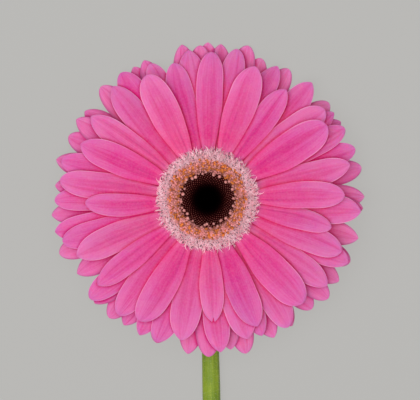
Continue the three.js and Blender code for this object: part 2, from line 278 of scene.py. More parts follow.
# -------------------------------------------------------------------------------------------------- finishes
@dataclass(frozen=True)
class Finish:
    """A surface of the real thing, built as one node material."""

    name: str

    def look(self, nodes: Nodes) -> Inputs:
        """Gives what goes into the sockets of the Principled shader."""
        raise NotImplementedError

    def build(self) -> bpy.types.Material:
        """Builds the material.

        Returns:
            The material, with its Principled shader wired to the output.
        """
        material = bpy.data.materials.new(self.name)
        material.use_nodes = True
        tree = material.node_tree
        tree.nodes.clear()
        shader = add_node(tree, "ShaderNodeBsdfPrincipled", self.look(Nodes(tree)))
        add_node(tree, "ShaderNodeOutputMaterial", {"Surface": shader.outputs["BSDF"]})
        return material


@dataclass(frozen=True)
class PetalFinish(Finish):
    """Living petal tissue: domed surface cells give a velvety satin, and light glows through the thin blade.

    The pigment thins towards the tip, and fine veins run the length of it. Painted shade darkens the grooves,
    the folds, the sides of the inner half and where a neighbour lies over a petal; painted highlight pales
    the crests and the rims, which the back row's finish paints darker instead.
    """

    base: str = "#FF78AC"
    throat: str = "#F44A90"
    middle: str = "#EA5CA2"
    tip: str = "#DC74B6"
    vein: str = "#DC2274"
    # Painted light: the groove, fold and crease colours are painted shade; the crest and margin colours are
    # painted highlight, and the margin is painted shade in the back row's finish.
    groove: str = "#D62A7C"
    fold: str = "#E03A8A"
    painted_crest_highlight: str = "#F286BE"
    painted_shade: str = "#EC0860"
    painted_shade_tip: str = "#D0187A"
    painted_rim: str = "#FFB8DA"
    reverse: str = "#E884B8"
    sheen: str = "#FFC4E4"
    roughness: float = 0.5
    glow: float = 0.95
    painted_rim_reach: float = 0.07
    bloom_mm: float = 1000 / 230
    cell_mm: float = 1000 / 1500

    def look(self, nodes: Nodes) -> Inputs:
        """Reads the attributes along, across, groove, fold, tone, underside and covered."""
        along, across, groove, fold, tone, underside, covered = nodes.attributes(
            "along", "across", "groove", "fold", "tone", "underside", "covered"
        )
        edge = nodes.math("ABSOLUTE", across)
        stops = (0.1, self.base), (0.235, self.throat), (0.6, self.middle), (0.98, self.tip)
        colour = nodes.ramp(along, *stops)
        # Veins run the length of the blade, about 0.5 mm apart.
        place = nodes.vector(nodes.times(across, 8.0), nodes.times(along, 1.6), nodes.times(tone, 41.0))
        streaks = nodes.noise(place, 1.5, 4.0, 0.6)
        colour = nodes.blend(nodes.span(streaks, 0.42, 0.72, 0.0, 0.45), colour, self.vein)
        # Painted shade and highlight: broad folds are painted darker, and the crests between them paler.
        colour = nodes.blend(nodes.span(fold, 0.35, 1.0, 0.0, 0.3), colour, self.fold)
        colour = nodes.blend(nodes.span(fold, 0.4, 0.0, 0.0, 0.2), colour, self.painted_crest_highlight)
        # Painted shade: the fine grooves are painted darker.
        colour = nodes.blend(nodes.times(groove, 0.6), colour, self.groove)
        # Painted shade: where a neighbour lies over a petal, and down the sides of its inner half, the pink
        # is painted a deep crimson.
        sides = nodes.span(edge, 0.65, 0.95, 0.0, nodes.span(along, 0.15, 0.7, 0.35, 0.0))
        painted_shadow_share = nodes.times(nodes.math("POWER", covered, 1.5), 0.95)
        shaded = nodes.blend(nodes.span(along, 0.55, 0.9, 0.0, 1.0), self.painted_shade, self.painted_shade_tip)
        colour = nodes.blend(nodes.math("MAXIMUM", sides, painted_shadow_share), colour, shaded)
        # Painted highlight: the rims are paler towards the tip; the back row's finish paints them darker
        # instead, painted shade.
        outer = nodes.span(along, 0.4, 0.85, 0.0, 0.65)
        colour = nodes.blend(nodes.span(edge, 1 - self.painted_rim_reach, 1.0, 0.0, outer), colour, self.painted_rim)
        colour = nodes.blend(nodes.span(underside, 0.6, 1.0, 0.0, 0.85), colour, self.reverse)
        # Paler bloom lies in soft patches a few millimetres across, and cells mottle it at 0.7 mm.
        bloom, cells = nodes.grain(self.bloom_mm), nodes.grain(self.cell_mm)
        patch, speckle = nodes.span(bloom, 0.3, 0.7, 1.02, 0.98), nodes.span(cells, 0.3, 0.7, 0.97, 1.03)
        saturation = nodes.times(nodes.times(patch, speckle), nodes.spread(tone, 1.025, 0.975))
        hue = nodes.spread(tone, 0.498, 0.502)
        # The rim is too thin to hold light inside, so the glow fades towards it.
        inside = nodes.span(edge, 0.76, 0.98, self.glow, 0.3 * self.glow)
        within = nodes.times(inside, nodes.span(along, 0.93, 1.0, 1.0, 0.2))
        return {
            "Base Color": nodes.toned(colour, nodes.spread(tone, 0.96, 1.02), Hue=hue, Saturation=saturation),
            "Roughness": nodes.spread(bloom, self.roughness - 0.08, self.roughness + 0.08),
            "Normal": nodes.bump(nodes.math("MULTIPLY_ADD", cells, 0.3, streaks), 0.5, 0.2),
            "Subsurface Weight": nodes.times(within, nodes.span(underside, 0.5, 0.9, 1.0, 0.25)),
            "Subsurface Scale": 0.0015,
            "Subsurface Radius": (1.0, 0.14, 0.3),
            "Sheen Weight": 0.02,
            "Sheen Roughness": 0.45,
            "Sheen Tint": self.sheen,
            "Specular IOR Level": 0.12,
            "IOR": 1.42,
        }


@dataclass(frozen=True)
class FloretFinish(Finish):
    """Small florets of the disc: one colour at the foot, one along it and one at its tip, with grain."""

    foot: str
    body: str
    tip: str
    accent: str
    roughness: float
    grain_mm: float
    glow: float = 0.5
    inner_shade: float = 1.0

    def look(self, nodes: Nodes) -> Inputs:
        """Reads the attributes along, accent, tone and share."""
        along, accent, tone, share = nodes.attributes("along", "accent", "tone", "share")
        colour = nodes.ramp(along, (0.0, self.foot), (0.4, self.body), (1.0, self.tip))
        grain = nodes.grain(self.grain_mm)
        shade = nodes.span(share, 0.74, 0.94, self.inner_shade, 1.0)
        lit = nodes.times(nodes.span(grain, 0.3, 0.7, 0.82, 1.15), shade)
        value = nodes.times(lit, nodes.spread(tone, 0.76, 1.2))
        return {
            "Base Color": nodes.toned(nodes.blend(accent, colour, self.accent), value),
            "Normal": nodes.bump(grain, 0.5, 0.08),
            "Roughness": self.roughness,
            "Specular IOR Level": 0.2,
            "Subsurface Weight": self.glow,
            "Subsurface Scale": 0.0005,
            "Subsurface Radius": (1.0, 0.9, 0.9),
        }


@dataclass(frozen=True)
class BudFinish(Finish):
    """Closed buds: black where they are youngest, maroon further out, each with a paler, browner tip of
    painted highlight.
    """

    name: str = "disc_bud_maroon"

    def look(self, nodes: Nodes) -> Inputs:
        """Reads the attributes share (of the disc's radius), along and tone."""
        share, along, tone = nodes.attributes("share", "along", "tone")
        skin = nodes.ramp(share, (0.34, "#000000"), (0.48, "#0A0102"), (0.64, "#230407"), (1.0, "#46090E"))
        # Painted highlight: the tips are paler, more so towards the edge of the disc.
        painted_tip_highlight = nodes.ramp(share, (0.42, "#030101"), (0.52, "#2C100E"), (0.66, "#7E443C"), (1.0, "#B8786E"))
        colour = nodes.blend(nodes.span(along, 0.86, 0.95, 0.0, 1.0), skin, painted_tip_highlight)
        return {
            "Base Color": nodes.toned(colour, nodes.spread(tone, 0.7, 1.25)),
            "Roughness": 0.8,
            "Specular IOR Level": 0.0,
        }


@dataclass(frozen=True)
class GreenFinish(Finish):
    """Green plant skin, ribbed along its length, with pale downy hairs lying on it."""

    dark: str
    light: str
    downy: str
    cut: str = "#CFD3A0"
    bloom: str = "#DDE6C0"
    roughness: float = 0.62
    streak: float = 14.0
    sheen: float = 0.3
    patch_mm: float = 1000 / 160
    down_mm: float = 1000 / 1400

    def look(self, nodes: Nodes) -> Inputs:
        """Reads the attributes along, across, tone and cut."""
        along, across, tone, cut = nodes.attributes("along", "across", "tone", "cut")
        streaks = nodes.noise(nodes.vector(nodes.times(across, self.streak), along, tone), 1.4, 4.0, 0.6)
        patches, down = nodes.grain(self.patch_mm, 4.0), nodes.grain(self.down_mm, 3.0)
        share = nodes.span(nodes.math("ADD", streaks, patches), 0.75, 1.25, 0.0, 1.0)
        colour = nodes.blend(share, self.dark, self.light)
        colour = nodes.blend(nodes.span(down, 0.5, 0.75, 0.0, 0.45), colour, self.downy)
        return {
            "Base Color": nodes.blend(cut, colour, self.cut),
            "Normal": nodes.bump(nodes.math("ADD", streaks, down), 0.4, 0.15),
            "Roughness": self.roughness,
            "Sheen Weight": self.sheen,
            "Sheen Roughness": 0.5,
            "Sheen Tint": self.bloom,
        }


@dataclass(frozen=True)
class DownFinish(Finish):
    """Fine plant hairs: translucent white-green, matt."""

    name: str = "stem_down"
    root: str = "#C0CE8C"
    tip: str = "#F4F6E0"

    def look(self, nodes: Nodes) -> Inputs:
        """Reads the attribute along."""
        (along,) = nodes.attributes("along")
        return {
            "Base Color": nodes.ramp(along, (0.0, self.root), (1.0, self.tip)),
            "Roughness": 0.7,
            "Sheen Weight": 0.6,
            "Subsurface Weight": 0.6,
            "Subsurface Scale": 0.0003,
            "Subsurface Radius": (1.0, 1.0, 0.8),
        }


@dataclass(frozen=True)
class FloorFinish(Finish):
    """Opal acrylic table, faintly lit from below so that shadows on it stay soft."""

    name: str = "opal_acrylic_table"
    colour: str = "#4C4C4C"
    glow: str = "#ACABA8"
    glow_strength: float = 1.0
    grain_mm: float = 1000 / 300

    def look(self, nodes: Nodes) -> Inputs:
        """Gives the table's even grey, with a fine grain."""
        value = nodes.spread(nodes.grain(self.grain_mm), 0.985, 1.015)
        return {
            "Base Color": nodes.toned(self.colour, value),
            "Emission Color": self.glow,
            "Emission Strength": self.glow_strength,
            "Roughness": 0.95,
            "Specular IOR Level": 0.0,
        }


# ---------------------------------------------------------------------------------------------- mesh helpers
def make_mesh(
    name: str, points: Array, faces: Sequence[Sequence[int]], attributes: Mapping[str, Array]
) -> bpy.types.Mesh:
    """Makes a smooth mesh with number attributes on its points, crisp where it folds back on itself.

    Args:
        name: Name of the mesh.
        points: Coordinates, one row a point.
        faces: Corner indices of each face, anticlockwise from outside.
        attributes: Attribute name to one number a point.

    Returns:
        The mesh.
    """
    mesh = bpy.data.meshes.new(name)
    mesh.from_pydata(points.tolist(), [], [list(map(int, f)) for f in faces])
    for key, values in attributes.items():
        layer = mesh.attributes.new(key, "FLOAT", "POINT")
        layer.data.foreach_set("value", np.ascontiguousarray(values, np.float32).ravel())
    mesh.polygons.foreach_set("use_smooth", [True] * len(mesh.polygons))
    mesh.update()
    mesh.set_sharp_from_angle(angle=CREASE)
    return mesh


def coordinates(mesh: bpy.types.Mesh) -> Array:
    """Points of a mesh, one row each."""
    flat = np.zeros(len(mesh.vertices) * 3, np.float32)
    mesh.vertices.foreach_get("co", flat)
    return flat.reshape(-1, 3).astype(float)


def turns(sides: int) -> Array:
    """Angles of equal steps round a circle."""
    return np.arange(sides) * 2 * math.pi / sides


def unit(vectors: Array) -> Array:
    """Vectors made one long."""
    return vectors / np.linalg.norm(vectors, axis=1, keepdims=True)


def grid_faces(index: Array, wrapped: bool = False) -> list[tuple[int, int, int, int]]:
    """Quads of a grid of point indices.

    Args:
        index: Rows by columns of indices.
        wrapped: Whether the last column joins the first.

    Returns:
        The quads; row direction times column direction points to their inside.
    """
    after = np.roll(index, -1, axis=1)
    columns = index.shape[1] if wrapped else index.shape[1] - 1
    quads = np.stack([index[:-1], after[:-1], after[1:], index[1:]], axis=-1)[:, :columns]
    return [tuple(q) for q in quads.reshape(-1, 4).tolist()]


def capped_faces(index: Array) -> list[tuple[int, ...]]:
    """Faces of a closed column: quads round it, and its first and last ring as caps."""
    return [*grid_faces(index, wrapped=True), tuple(reversed(index[0].tolist())), tuple(index[-1].tolist())]


@dataclass
class Surface:
    """Growing list of points, faces and point attributes that ends as one mesh."""

    points: list[Array] = field(default_factory=list)
    faces: list[Sequence[int]] = field(default_factory=list)
    values: dict[str, list[Array]] = field(default_factory=dict)
    count: int = 0

    def add(self, points: Array, faces: Sequence[Sequence[int]], attributes: Mapping[str, Array]) -> None:
        """Adds points and the faces between them.

        Args:
            points: Coordinates, one row a point.
            faces: Corner indices within these points.
            attributes: Attribute name to one number a point, or to one for all of them.
        """
        self.points.append(points)
        self.faces += [[int(corner) + self.count for corner in face] for face in faces]
        for key, numbers in attributes.items():
            self.values.setdefault(key, []).append(np.broadcast_to(numbers, len(points)))
        self.count += len(points)

    def mesh(self, name: str) -> bpy.types.Mesh:
        """Makes the mesh.

        Args:
            name: Name of the mesh.

        Returns:
            The mesh of everything added.
        """
        joined = {key: np.concatenate(numbers) for key, numbers in self.values.items()}
        return make_mesh(name, np.concatenate(self.points), self.faces, joined)

    def add_blade(self, middle: Array, half: Array, attributes: Mapping[str, Array]) -> None:
        """Adds a closed leaf-like blade: two sheets that meet all round its edge.

        Args:
            middle: Rows by columns of points between the sheets.
            half: Half the thickness at each point; the edge itself gets none.
            attributes: Attribute name to numbers that spread over rows by columns.
        """
        rows, columns = half.shape
        along = np.gradient(middle, axis=0)
        across = np.gradient(middle, axis=1)
        normal = np.cross(across, along)
        normal /= np.maximum(np.linalg.norm(normal, axis=-1, keepdims=True), 1e-12)
        inside = np.zeros((rows, columns), bool)
        inside[1:-1, 1:-1] = True
        half = np.where(inside, half, 0.0)
        upper = np.arange(rows * columns).reshape(rows, columns)
        lower = upper.copy()
        lower[inside] = rows * columns + np.arange(inside.sum())
        lift = normal * half[..., None]
        points = np.concatenate([(middle + lift).reshape(-1, 3), (middle - lift)[inside]])
        faces = [tuple(reversed(q)) for q in grid_faces(upper)] + grid_faces(lower)
        under = np.concatenate([np.where(inside, 0.0, 0.5).ravel(), np.ones(inside.sum())])
        spread = {key: np.broadcast_to(v, (rows, columns)) for key, v in attributes.items()}
        values = {key: np.concatenate([v.ravel(), v[inside]]) for key, v in spread.items()}
        self.add(points, faces, {**values, "underside": under})

    def add_tube(
        self, path: Array, radii: Array, sides: int, attributes: Mapping[str, Array],
        flat: float = 1.0, side: Sequence[float] = (1.0, 0.0, 0.0),
    ) -> None:
        """Adds a closed tube along a path.

        Args:
            path: Points of its centreline.
            radii: Radius at each point.
            sides: Number of sides.
            attributes: Attribute name to one number for each point of the path.
            flat: Thickness as a share of the width, for a strap.
            side: Direction of the width.
        """
        heading = unit(np.gradient(path, axis=0))
        first = unit(np.cross(heading, np.cross(np.asarray(side, float), heading)))
        second = np.cross(heading, first) * flat
        turn = turns(sides)
        ring = np.cos(turn)[None, :, None] * first[:, None] + np.sin(turn)[None, :, None] * second[:, None]
        points = (path[:, None] + ring * radii[:, None, None]).reshape(-1, 3)
        faces = capped_faces(np.arange(len(points)).reshape(len(path), sides))
        self.add(points, faces, {key: np.repeat(v, sides) for key, v in spread_rows(attributes, len(path))})

    def add_revolved(
        self, profile: Array, sides: int, attributes: Mapping[str, Array | float],
        lobes: int = 0, depth: float = 0.0, centre: Sequence[float] = (0.0, 0.0, 0.0), looped: bool = False,
    ) -> None:
        """Adds a closed solid of revolution about Z, plain or lobed.

        Args:
            profile: Radius and height of each ring, from the foot up, or anticlockwise if looped.
            sides: Number of sides.
            attributes: Attribute name to one number for each ring, or to one for all.
            lobes: Number of lobes round it.
            depth: Depth of the grooves between lobes, as a share of the radius.
            centre: Point the profile is measured from.
            looped: Whether the last ring joins the first, in place of two caps.
        """
        turn = turns(sides)
        radius = profile[:, :1] * (1 + depth * np.cos(lobes * turn))[None]
        height = np.repeat(profile[:, 1:], sides, axis=1)
        points = np.stack([radius * np.cos(turn), radius * np.sin(turn), height], axis=-1).reshape(-1, 3)
        index = np.arange(len(points)).reshape(len(profile), sides)
        again = np.concatenate([index, index[:1]])
        faces = grid_faces(again, wrapped=True) if looped else capped_faces(index)
        values = {key: np.repeat(v, sides) for key, v in spread_rows(attributes, len(profile))}
        self.add(points + np.asarray(centre, float), faces, values)


def spread_rows(attributes: Mapping[str, Array | float], rows: int) -> list[tuple[str, Array]]:
    """Attribute names with one number a row each."""
    return [(key, np.broadcast_to(v, rows)) for key, v in attributes.items()]


def keep_above_surface(mesh: bpy.types.Mesh) -> None:
    """Presses what would dip under the surface flat onto it.

    Args:
        mesh: Mesh in the row's frame.
    """
    points = coordinates(mesh)
    points[:, 2] = np.maximum(points[:, 2], CLEARANCE)
    mesh.vertices.foreach_set("co", points.astype(np.float32).ravel())
    mesh.update()


def new_object(name: str, data: bpy.types.ID) -> bpy.types.Object:
    """Makes an object and links it to the scene."""
    made = bpy.data.objects.new(name, data)
    bpy.context.scene.collection.objects.link(made)
    return made


def show_piece(
    mesh: bpy.types.Mesh, slot: str, material: bpy.types.Material, *replaced: str
) -> bpy.types.Object:
    """Puts a finished mesh in the scene as a piece of the flower.

    Args:
        mesh: Mesh in the row's frame.
        slot: Name of the record's material slot; not used.
        material: Its only material.
        *replaced: CAD nodes that it stands for.

    Returns:
        The new object, riding on the flower's one body.
    """
    mesh.materials.clear()
    mesh.materials.append(material)
    piece = new_object(mesh.name, mesh)
    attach(piece, BODY)
    if replaced:
        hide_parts(*replaced)
    LOG.info("%s: %d faces", piece.name, len(mesh.polygons))
    return piece


# ------------------------------------------------------------------------------------------- the head's frame
@dataclass
class HeadFrame:
    """Axes of the flower head: z is its axis, y points away from the stem, and the origin is its foot."""

    origin: Vector
    matrix: Matrix

    @classmethod
    def from_receptacle(cls) -> HeadFrame:
        """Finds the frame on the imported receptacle.

        Returns:
            The head's frame.
        """
        axis = Vector((0.0, math.sin(FACE_TILT), math.cos(FACE_TILT)))
        points = [v.co.copy() for v in frame["nodes"]["receptacle"].data.vertices]
        foot = min(p.dot(axis) for p in points)
        disc = [p for p in points if p.dot(axis) < foot + 1e-6]
        low = Vector(tuple(min(p[i] for p in disc) for i in range(3)))
        high = Vector(tuple(max(p[i] for p in disc) for i in range(3)))
        origin = (low + high) / 2
        turn = Matrix.Rotation(-FACE_TILT, 4, "X")
        return cls(origin, Matrix.Translation(origin) @ turn)

    def to_head(self, points: Array) -> Array:
        """Turns points of the row's frame into the head's frame."""
        turned = np.array(self.matrix.to_3x3())
        return (points - np.array(self.origin)) @ turned

    def surface_under(self, points: Array) -> Array:
        """Height, in the head's frame, of the surface that the flower lies on, under points of that frame."""
        across, along, up = self.matrix.to_3x3()[2]
        return -(self.origin.z + across * points[..., 0] + along * points[..., 1]) / up

    def node_points(self, node: str) -> Array:
        """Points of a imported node, in the head's frame."""
        return self.to_head(coordinates(frame["nodes"][node].data))

    def polar_points(self, node: str) -> tuple[Array, Array, Array]:
        """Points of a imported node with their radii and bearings, in the head's frame."""
        points = self.node_points(node)
        return points, np.hypot(points[:, 0], points[:, 1]), np.arctan2(points[:, 0], points[:, 1])

    def foot_of(self, node: str) -> float:
        """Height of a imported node's lowest point, in the head's frame."""
        return self.node_points(node)[:, 2].min()

    def place(self, mesh: bpy.types.Mesh) -> bpy.types.Mesh:
        """Moves a mesh from the head's frame into the row's."""
        mesh.transform(self.matrix)
        return mesh


def polar(radius: Array, bearing: Array, height: Array) -> Array:
    """Points at a radius, a bearing clockwise from +Y and a height, in the head's frame."""
    return np.stack([radius * np.sin(bearing), radius * np.cos(bearing), height], axis=-1)


def past(share: Array, start: float) -> Array:
    """Grows as a square from 0 at a start to 1 at the end of the length."""
    return np.clip((share - start) / (1 - start), 0, 1) ** 2


# --------------------------------------------------------------------------------------------- ray florets
class Tip(Enum):
    """How a petal ends."""

    ROUNDED = 0.56
    POINTED = 0.72
    NOTCHED = 0.62


@dataclass
class PetalForm:
    """What makes one petal differ from its neighbours."""

    tip: Tip = Tip.POINTED
    grooves: Sequence[tuple[float, float]] = ((-0.34, 0.4), (0.34, 0.4))
    camber: float = 0.5 * MM
    curl: float = 0.4 * MM
    roll: float = 0.0
    hook: float = 0.0
    wave: float = 0.0
    tone: float = 0.5

    @classmethod
    def grown(cls, seed: int) -> PetalForm:
        """Draws a petal's own form.

        Args:
            seed: Seed of the draw.

        Returns:
            The form.
        """
        random = np.random.default_rng(seed)
        grooves = [
            (-0.36 + random.uniform(-0.08, 0.08), random.uniform(0.15, 0.9)),
            (0.36 + random.uniform(-0.08, 0.08), random.uniform(0.15, 0.9)),
            (random.uniform(-0.08, 0.08), random.uniform(-0.1, 0.7)),
        ]
        return cls(
            tip=Tip.POINTED if random.uniform() < 0.6 else Tip.ROUNDED,
            grooves=[(place, max(depth, 0.0)) for place, depth in grooves],
            camber=random.uniform(0.15, 0.45) * MM,
            curl=random.uniform(-0.3, 0.9) * MM,
            roll=random.uniform(-0.3, 0.3) * MM,
            hook=random.uniform(-0.5, 0.5) * MM,
            wave=random.uniform(0, 2 * math.pi),
            tone=random.uniform(0, 1),
        )


@dataclass
class RayFloret:
    """One strap-shaped petal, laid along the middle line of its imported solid."""

    foot_bearing: float
    tip_bearing: float
    foot: float
    reach: float
    width: float
    line: Array
    form: PetalForm
    lift: float = 0.0
    raised: float = 0.0
    thickness: float = 0.4 * MM
    rows: int = 36
    columns: int = 27
    tip_run: float = 13 * MM
    groove_depth: float = 0.3 * MM
    groove_width: float = 0.1
    fold_width: float = 0.2
    painted_shadow_reach: float = 1.3 * MM
    row_crowding: float = 1.45
    sine_columns: float = 0.55
    even_columns: float = 0.45
    ripple_depth: float = 0.014
    hook_start: float = 0.6
    notch_start: float = 0.85
    curl_start: float = 0.62
    groove_wander: float = 0.03
    twist: float = 0.12 * MM
    press: float = 0.5 * MM
    clear: float = 0.05 * MM
    foot_share: float = 0.3
    broadest: float = 0.62
    swelling: float = 1.25
    tip_fullness: float = 2.9
    notch_blunt: float = 0.05
    notch_depth: float = 1.7 * MM
    notch_width: float = 0.4

    def half_width(self, share: Array) -> Array:
        """Half the width at a share of the length, as a share of the greatest half width."""
        widening = np.sin(np.minimum(share / self.broadest, 1.0) * math.pi / 2) ** self.swelling
        body = self.foot_share + (1 - self.foot_share) * widening
        start = 1 - self.tip_run / (self.reach - self.foot)
        beyond = np.clip((share - start) / (1 - start), 0.0, 1.0)
        blunt = self.notch_blunt if self.form.tip is Tip.NOTCHED else 0.0
        return body * np.maximum(1 - beyond**self.tip_fullness, blunt) ** self.form.tip.value

    def cast_painted_shadow(self, plan: Array, height: Array) -> Array:
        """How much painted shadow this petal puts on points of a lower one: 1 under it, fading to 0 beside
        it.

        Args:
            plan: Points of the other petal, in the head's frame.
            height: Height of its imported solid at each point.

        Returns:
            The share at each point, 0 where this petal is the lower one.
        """
        long = self.reach - self.foot
        share = np.clip((np.hypot(plan[..., 0], plan[..., 1]) - self.foot) / long, 0, 1)
        bearing = self.foot_bearing + (self.tip_bearing - self.foot_bearing) * share**2
        across = plan[..., 0] * np.cos(bearing) - plan[..., 1] * np.sin(bearing)
        ahead = plan[..., 0] * np.sin(bearing) + plan[..., 1] * np.cos(bearing)
        half = self.half_width(np.clip((ahead - self.foot) / long, 0, 1)) * self.width / 2
        gap = np.hypot(np.maximum(np.abs(across) - half, 0), np.maximum(ahead - self.reach, 0))
        above = np.interp(ahead, self.line[:, 0], self.line[:, 1]) > height + 0.15 * MM
        return np.clip(1 - gap / self.painted_shadow_reach, 0, 1) * above * (ahead > self.foot)

    def add_to(self, surface: Surface, head: HeadFrame, others: Sequence[RayFloret]) -> None:
        """Adds the petal to a surface, in the head's frame.

        Args:
            surface: Surface that gets the petal.
            head: Frame of the head, which knows where the flower rests.
            others: Petals that may lie over it.
        """
        form = self.form
        steps = np.linspace(0.0, 1.0, self.rows)
        share = (1 - (1 - steps) ** self.row_crowding)[:, None]
        even = np.linspace(-1.0, 1.0, self.columns)[None, :]
        columns = self.sine_columns * np.sin(even * math.pi / 2) + self.even_columns * even
        ones = np.ones_like(share * columns)
        ripple = 1 + self.ripple_depth * np.sin(share * 15 + form.wave + np.sign(columns) * 1.7)
        across = columns * self.half_width(share) * ripple * self.width / 2
        across = across + form.hook * past(share, self.hook_start)
        teeth = 0.0
        if form.tip is Tip.NOTCHED:
            dent = np.exp(-((columns / self.notch_width) ** 2))
            teeth = self.notch_depth * past(share, self.notch_start) * dent
        radius = self.foot + (self.reach - self.foot) * share - teeth
        bearing = self.foot_bearing + (self.tip_bearing - self.foot_bearing) * share**2
        plan = polar(radius * ones, bearing * ones, 0 * ones)
        plan += polar(across, bearing * ones + math.pi / 2, 0 * ones)
        height = np.interp(radius * ones, self.line[:, 0], self.line[:, 1])
        # Painted shadow: neighbours that lie over this petal darken it in the material.
        covered = np.max([other.cast_painted_shadow(plan, height) for other in others if other is not self], axis=0)
        # The grooves shape the relief; with the broad folds they also set where shade and highlight are
        # painted.
        folded, painted_fold_mask = np.zeros_like(ones), np.zeros_like(ones)
        along = np.clip(share * 4, 0, 1) * (1 - 0.35 * share)
        for place, depth in form.grooves:
            wander = place * (1 - 0.35 * share**2) + self.groove_wander * np.sin(share * 9 + form.wave)
            folded = folded + depth * np.exp(-(((columns - wander) / self.groove_width) ** 2)) * along
            painted_fold_mask = painted_fold_mask + (0.3 + depth) * np.exp(-(((columns - wander) / self.fold_width) ** 2))
        painted_fold_mask = painted_fold_mask * np.clip((1 - share) / 0.35, 0.25, 1)
        relief = -form.camber * (0.4 + 0.8 * share) * np.abs(columns) ** 2
        relief = relief - self.groove_depth * folded
        relief = relief + self.twist * np.sin(share * 11 + form.wave) * columns * share
        relief = relief + form.roll * columns * share
        relief = relief + form.curl * past(share, self.curl_start)
        relief = relief + self.lift * np.sin(math.pi * np.clip(share * 1.1, 0, 1))
        relief = relief + self.raised * share**1.5
        # A petal that rests is pressed flat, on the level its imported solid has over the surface.
        stations = polar(self.line[:, 0], np.full(len(self.line), self.foot_bearing), self.line[:, 1])
        level = (self.line[:, 1] - head.surface_under(stations)).min() - self.press
        level = max(level, self.thickness / 2 + self.clear)
        plan[..., 2] = np.maximum(height + relief, head.surface_under(plan) + level)
        fade = np.sqrt(np.clip(1 - columns**4, 0, 1)) * np.clip((1 - share) * 14, 0, 1)
        surface.add_blade(plan, self.thickness / 2 * fade, {
            "along": share, "across": columns, "tone": form.tone, "groove": np.clip(folded, 0, 1),
            "fold": np.clip(painted_fold_mask, 0, 1), "covered": covered,
        })


